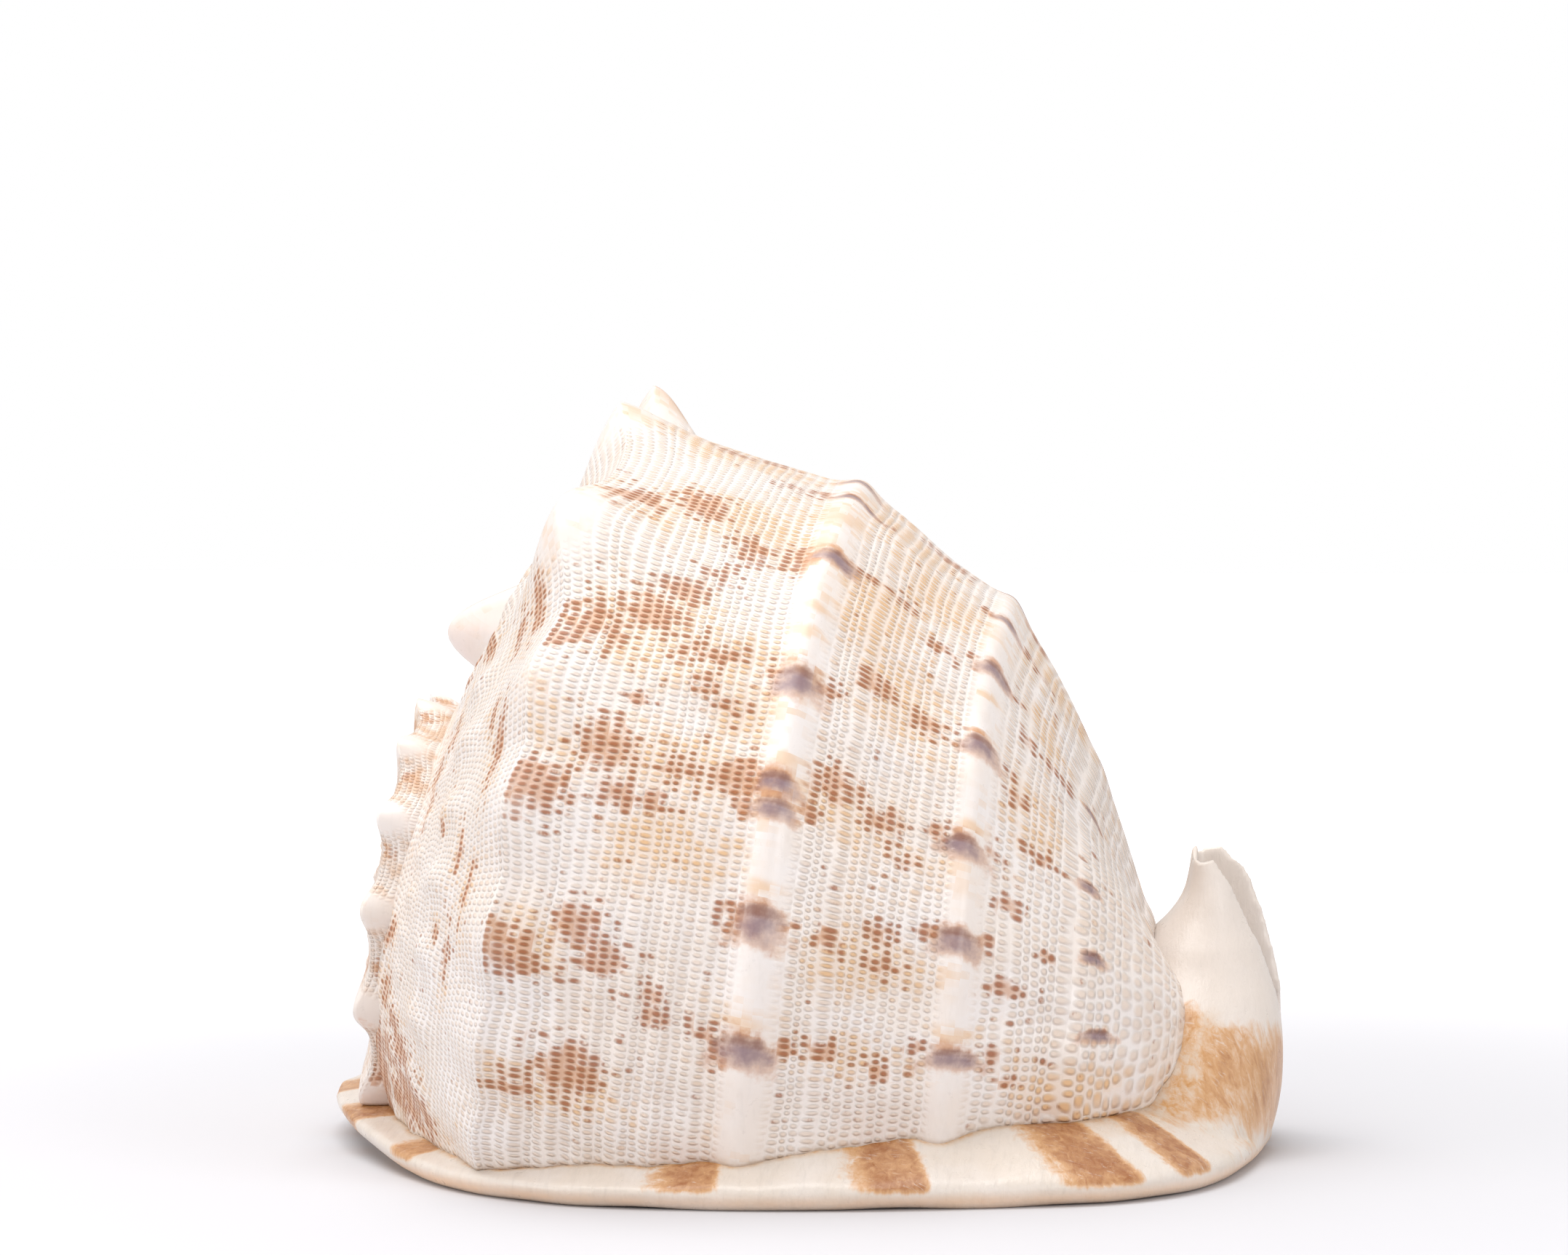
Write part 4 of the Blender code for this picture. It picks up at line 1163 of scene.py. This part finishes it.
def makeLipFinish(enamelGroup):
    material, w, shader, place = newFinish("lipEnamel")
    enamel = w.group(
        enamelGroup, place=place, colour=finishes["lipCream"], pale=finishes["lipPale"], cloud=0.75, fibre=0.10)
    rust, peach, teeth, gullet, canal, seam = w.fields("rust", "peach", "teeth", "gullet", "canal", "seam")
    streak = w.noise(w.stretch(place, (620, 620, 110)), 1.0, 4.0, 0.62, 0.8)
    patch = w.noise(place, 210, 4.0, 0.6)
    colour = w.tint(w.times(canal, 0.55), enamel.outputs["Colour"], finishes["canalBeige"])
    glow = w.times(peach, w.plus(0.35, w.times(patch, 0.6)))
    colour = w.tint(glow, colour, finishes["peach"])
    colour = w.tint(w.times(teeth, 0.75), colour, finishes["toothCream"])
    colour = w.tint(w.times(gullet, 0.8), colour, finishes["gullet"])
    joined = w.plus(seam, w.swing(patch, 1.1))
    colour = w.tint(w.ease(joined, 0.25, 1.05, 0.7), colour, finishes["seamTan"])
    colour = w.tint(w.ease(w.plus(joined, w.minus(streak, 0.5)), 0.75, 1.3, 0.7), colour, finishes["barGlow"])
    ragged = w.plus(rust, w.swing(streak, 0.9))
    ragged = w.plus(ragged, w.swing(patch, 0.7))
    colour = w.tint(w.ease(ragged, 0.22, 0.75, 0.74), colour, finishes["barGlow"])
    colour = w.tint(w.ease(ragged, 0.5, 1.3, 0.95), colour, finishes["bar"])
    scratch = w.ease(
        w.noise(w.stretch(place, (260, 1500, 500), (0.4, 0.3, 0.7)), 1.0, 3.0, 0.6, 1.5), 0.58, 0.72, 0.4)
    colour = w.tint(w.times(scratch, w.ease(rust, 0.2, 0.7)), colour, finishes["lipPale"])
    w.join(colour, shader.inputs["Base Color"])
    w.join(enamel.outputs["Roughness"], shader.inputs["Roughness"])
    rumple = w.times(w.times(seam, patch), 3.0)
    w.relief(shader, w.plus(w.plus(enamel.outputs["Relief"], rumple), w.times(streak, 0.5)), lipBase["relief"])
    return material


def makeLiningFinish(enamelGroup):
    material, w, shader, place = newFinish("mouthEnamel")
    enamel = w.group(
        enamelGroup, place=place, colour=finishes["gullet"], pale=finishes["peach"], cloud=0.6, fibre=0.12)
    colour = w.tint(w.times(w.fields("daylight")[0], 0.5), enamel.outputs["Colour"], finishes["peach"])
    w.join(colour, shader.inputs["Base Color"])
    w.join(enamel.outputs["Roughness"], shader.inputs["Roughness"])
    w.relief(shader, enamel.outputs["Relief"], mouthLining["relief"])
    return material


# Floor, lights and camera.
studio = {
    "cameraPlace": (0.101567, -0.780285, 0.115805),
    "cameraTurn": (90 - 1.691, 0.0, 7.583),
    "lens": 100.987,
    "floorSize": 12.0,
    "floorTone": (0.64, 0.635, 0.66),
    "worldTone": (1.0, 1.0, 1.0),
    "worldLight": 0.62,
    "floorGlow": 0.0,
    "farGlow": 0.8,
    # name, place, aim, size, power, tone
    "lamps": (
        ("topSoftbox", (-0.25, -0.02, 1.15), (0, 0, 0.05), 1.1, 13.5, (1.0, 0.99, 0.98)),
        ("leftSoftbox", (-1.1, -0.75, 0.40), (-0.05, 0, 0.05), 0.7, 5.0, (0.99, 0.99, 1.0)),
        ("sideSoftbox", (1.0, -0.75, 0.45), (0, 0, 0.06), 0.6, 4.0, (1.0, 0.98, 0.97)),
    ),
}


def makeStudio():
    scene = bpy.context.scene
    scene.view_settings.view_transform = "Standard"
    scene.view_settings.look = "None"
    lens = bpy.data.cameras.new("camera")
    lens.lens, lens.sensor_width, lens.sensor_fit = studio["lens"], 36, "HORIZONTAL"
    lens.clip_start, lens.clip_end = 0.02, 60
    camera = addPiece("camera", lens)
    camera.location = studio["cameraPlace"]
    camera.rotation_euler = [math.radians(v) for v in studio["cameraTurn"]]
    scene.camera = camera
    for name, place, aim, size, power, tone in studio["lamps"]:
        light = bpy.data.lights.new(name, "AREA")
        light.shape, light.size, light.energy, light.color = "SQUARE", size, power, tone
        lamp = addPiece(name, light)
        lamp.location = place
        lamp.rotation_euler = (Vector(aim) - Vector(place)).to_track_quat("-Z", "Y").to_euler()
    world = bpy.data.worlds.new("studioAir")
    world.use_nodes = True
    tree = world.node_tree
    glow = tree.nodes["Background"]
    glow.inputs["Color"].default_value = (*studio["worldTone"], 1)
    w = Wiring(tree)
    path = w.add("ShaderNodeLightPath")
    level = w.plus( w.times(path.outputs["Is Camera Ray"], 1.0 - studio["worldLight"]), studio["worldLight"])
    w.join(level, glow.inputs["Strength"])
    scene.world = world
    half = studio["floorSize"] / 2
    sheet = bpy.data.meshes.new("floor")
    sheet.from_pydata(
        [(-half, -half, 0), (half, -half, 0), (half, half, 0), (-half, half, 0)], [], [(0, 1, 2, 3)])
    floor = addPiece("floor", sheet)
    material = bpy.data.materials.new("floorPaper")
    material.use_nodes = True
    shader = material.node_tree.nodes["Principled BSDF"]
    shader.inputs["Base Color"].default_value = (*studio["floorTone"], 1)
    shader.inputs["Roughness"].default_value = 0.7
    shader.inputs["Specular IOR Level"].default_value = 0.2
    # the paper looks white to the lens without lighting the shell from below
    tree = material.node_tree
    w = Wiring(tree)
    place = w.add("ShaderNodeTexCoord").outputs["Object"]
    length = w.add("ShaderNodeVectorMath", operation="LENGTH")
    w.join(place, length.inputs[0])
    far = w.ease(length.outputs["Value"], 0.07, 0.7, studio["farGlow"] - studio["floorGlow"])
    seen = w.add("ShaderNodeLightPath").outputs["Is Camera Ray"]
    w.join(w.times(w.plus(far, studio["floorGlow"]), seen), shader.inputs["Emission Color"])
    shader.inputs["Emission Strength"].default_value = 1.0
    sheet.materials.append(material)
    print("studio ready")


lipPiece = makeLipBase()
outerPiece = makeOuterShell(lipPiece.data)
liningPiece = makeMouthLining()
pitGroup, enamelGroup = makePitGroup(), makeEnamelGroup()
outerPiece.data.materials.append(makePittedFinish(pitGroup, enamelGroup))
lipPiece.data.materials.append(makeLipFinish(enamelGroup))
liningPiece.data.materials.append(makeLiningFinish(enamelGroup))
for piece in (outerPiece, lipPiece, liningPiece):
    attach(piece, "root")
    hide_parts("helmet_shell")
makeStudio()
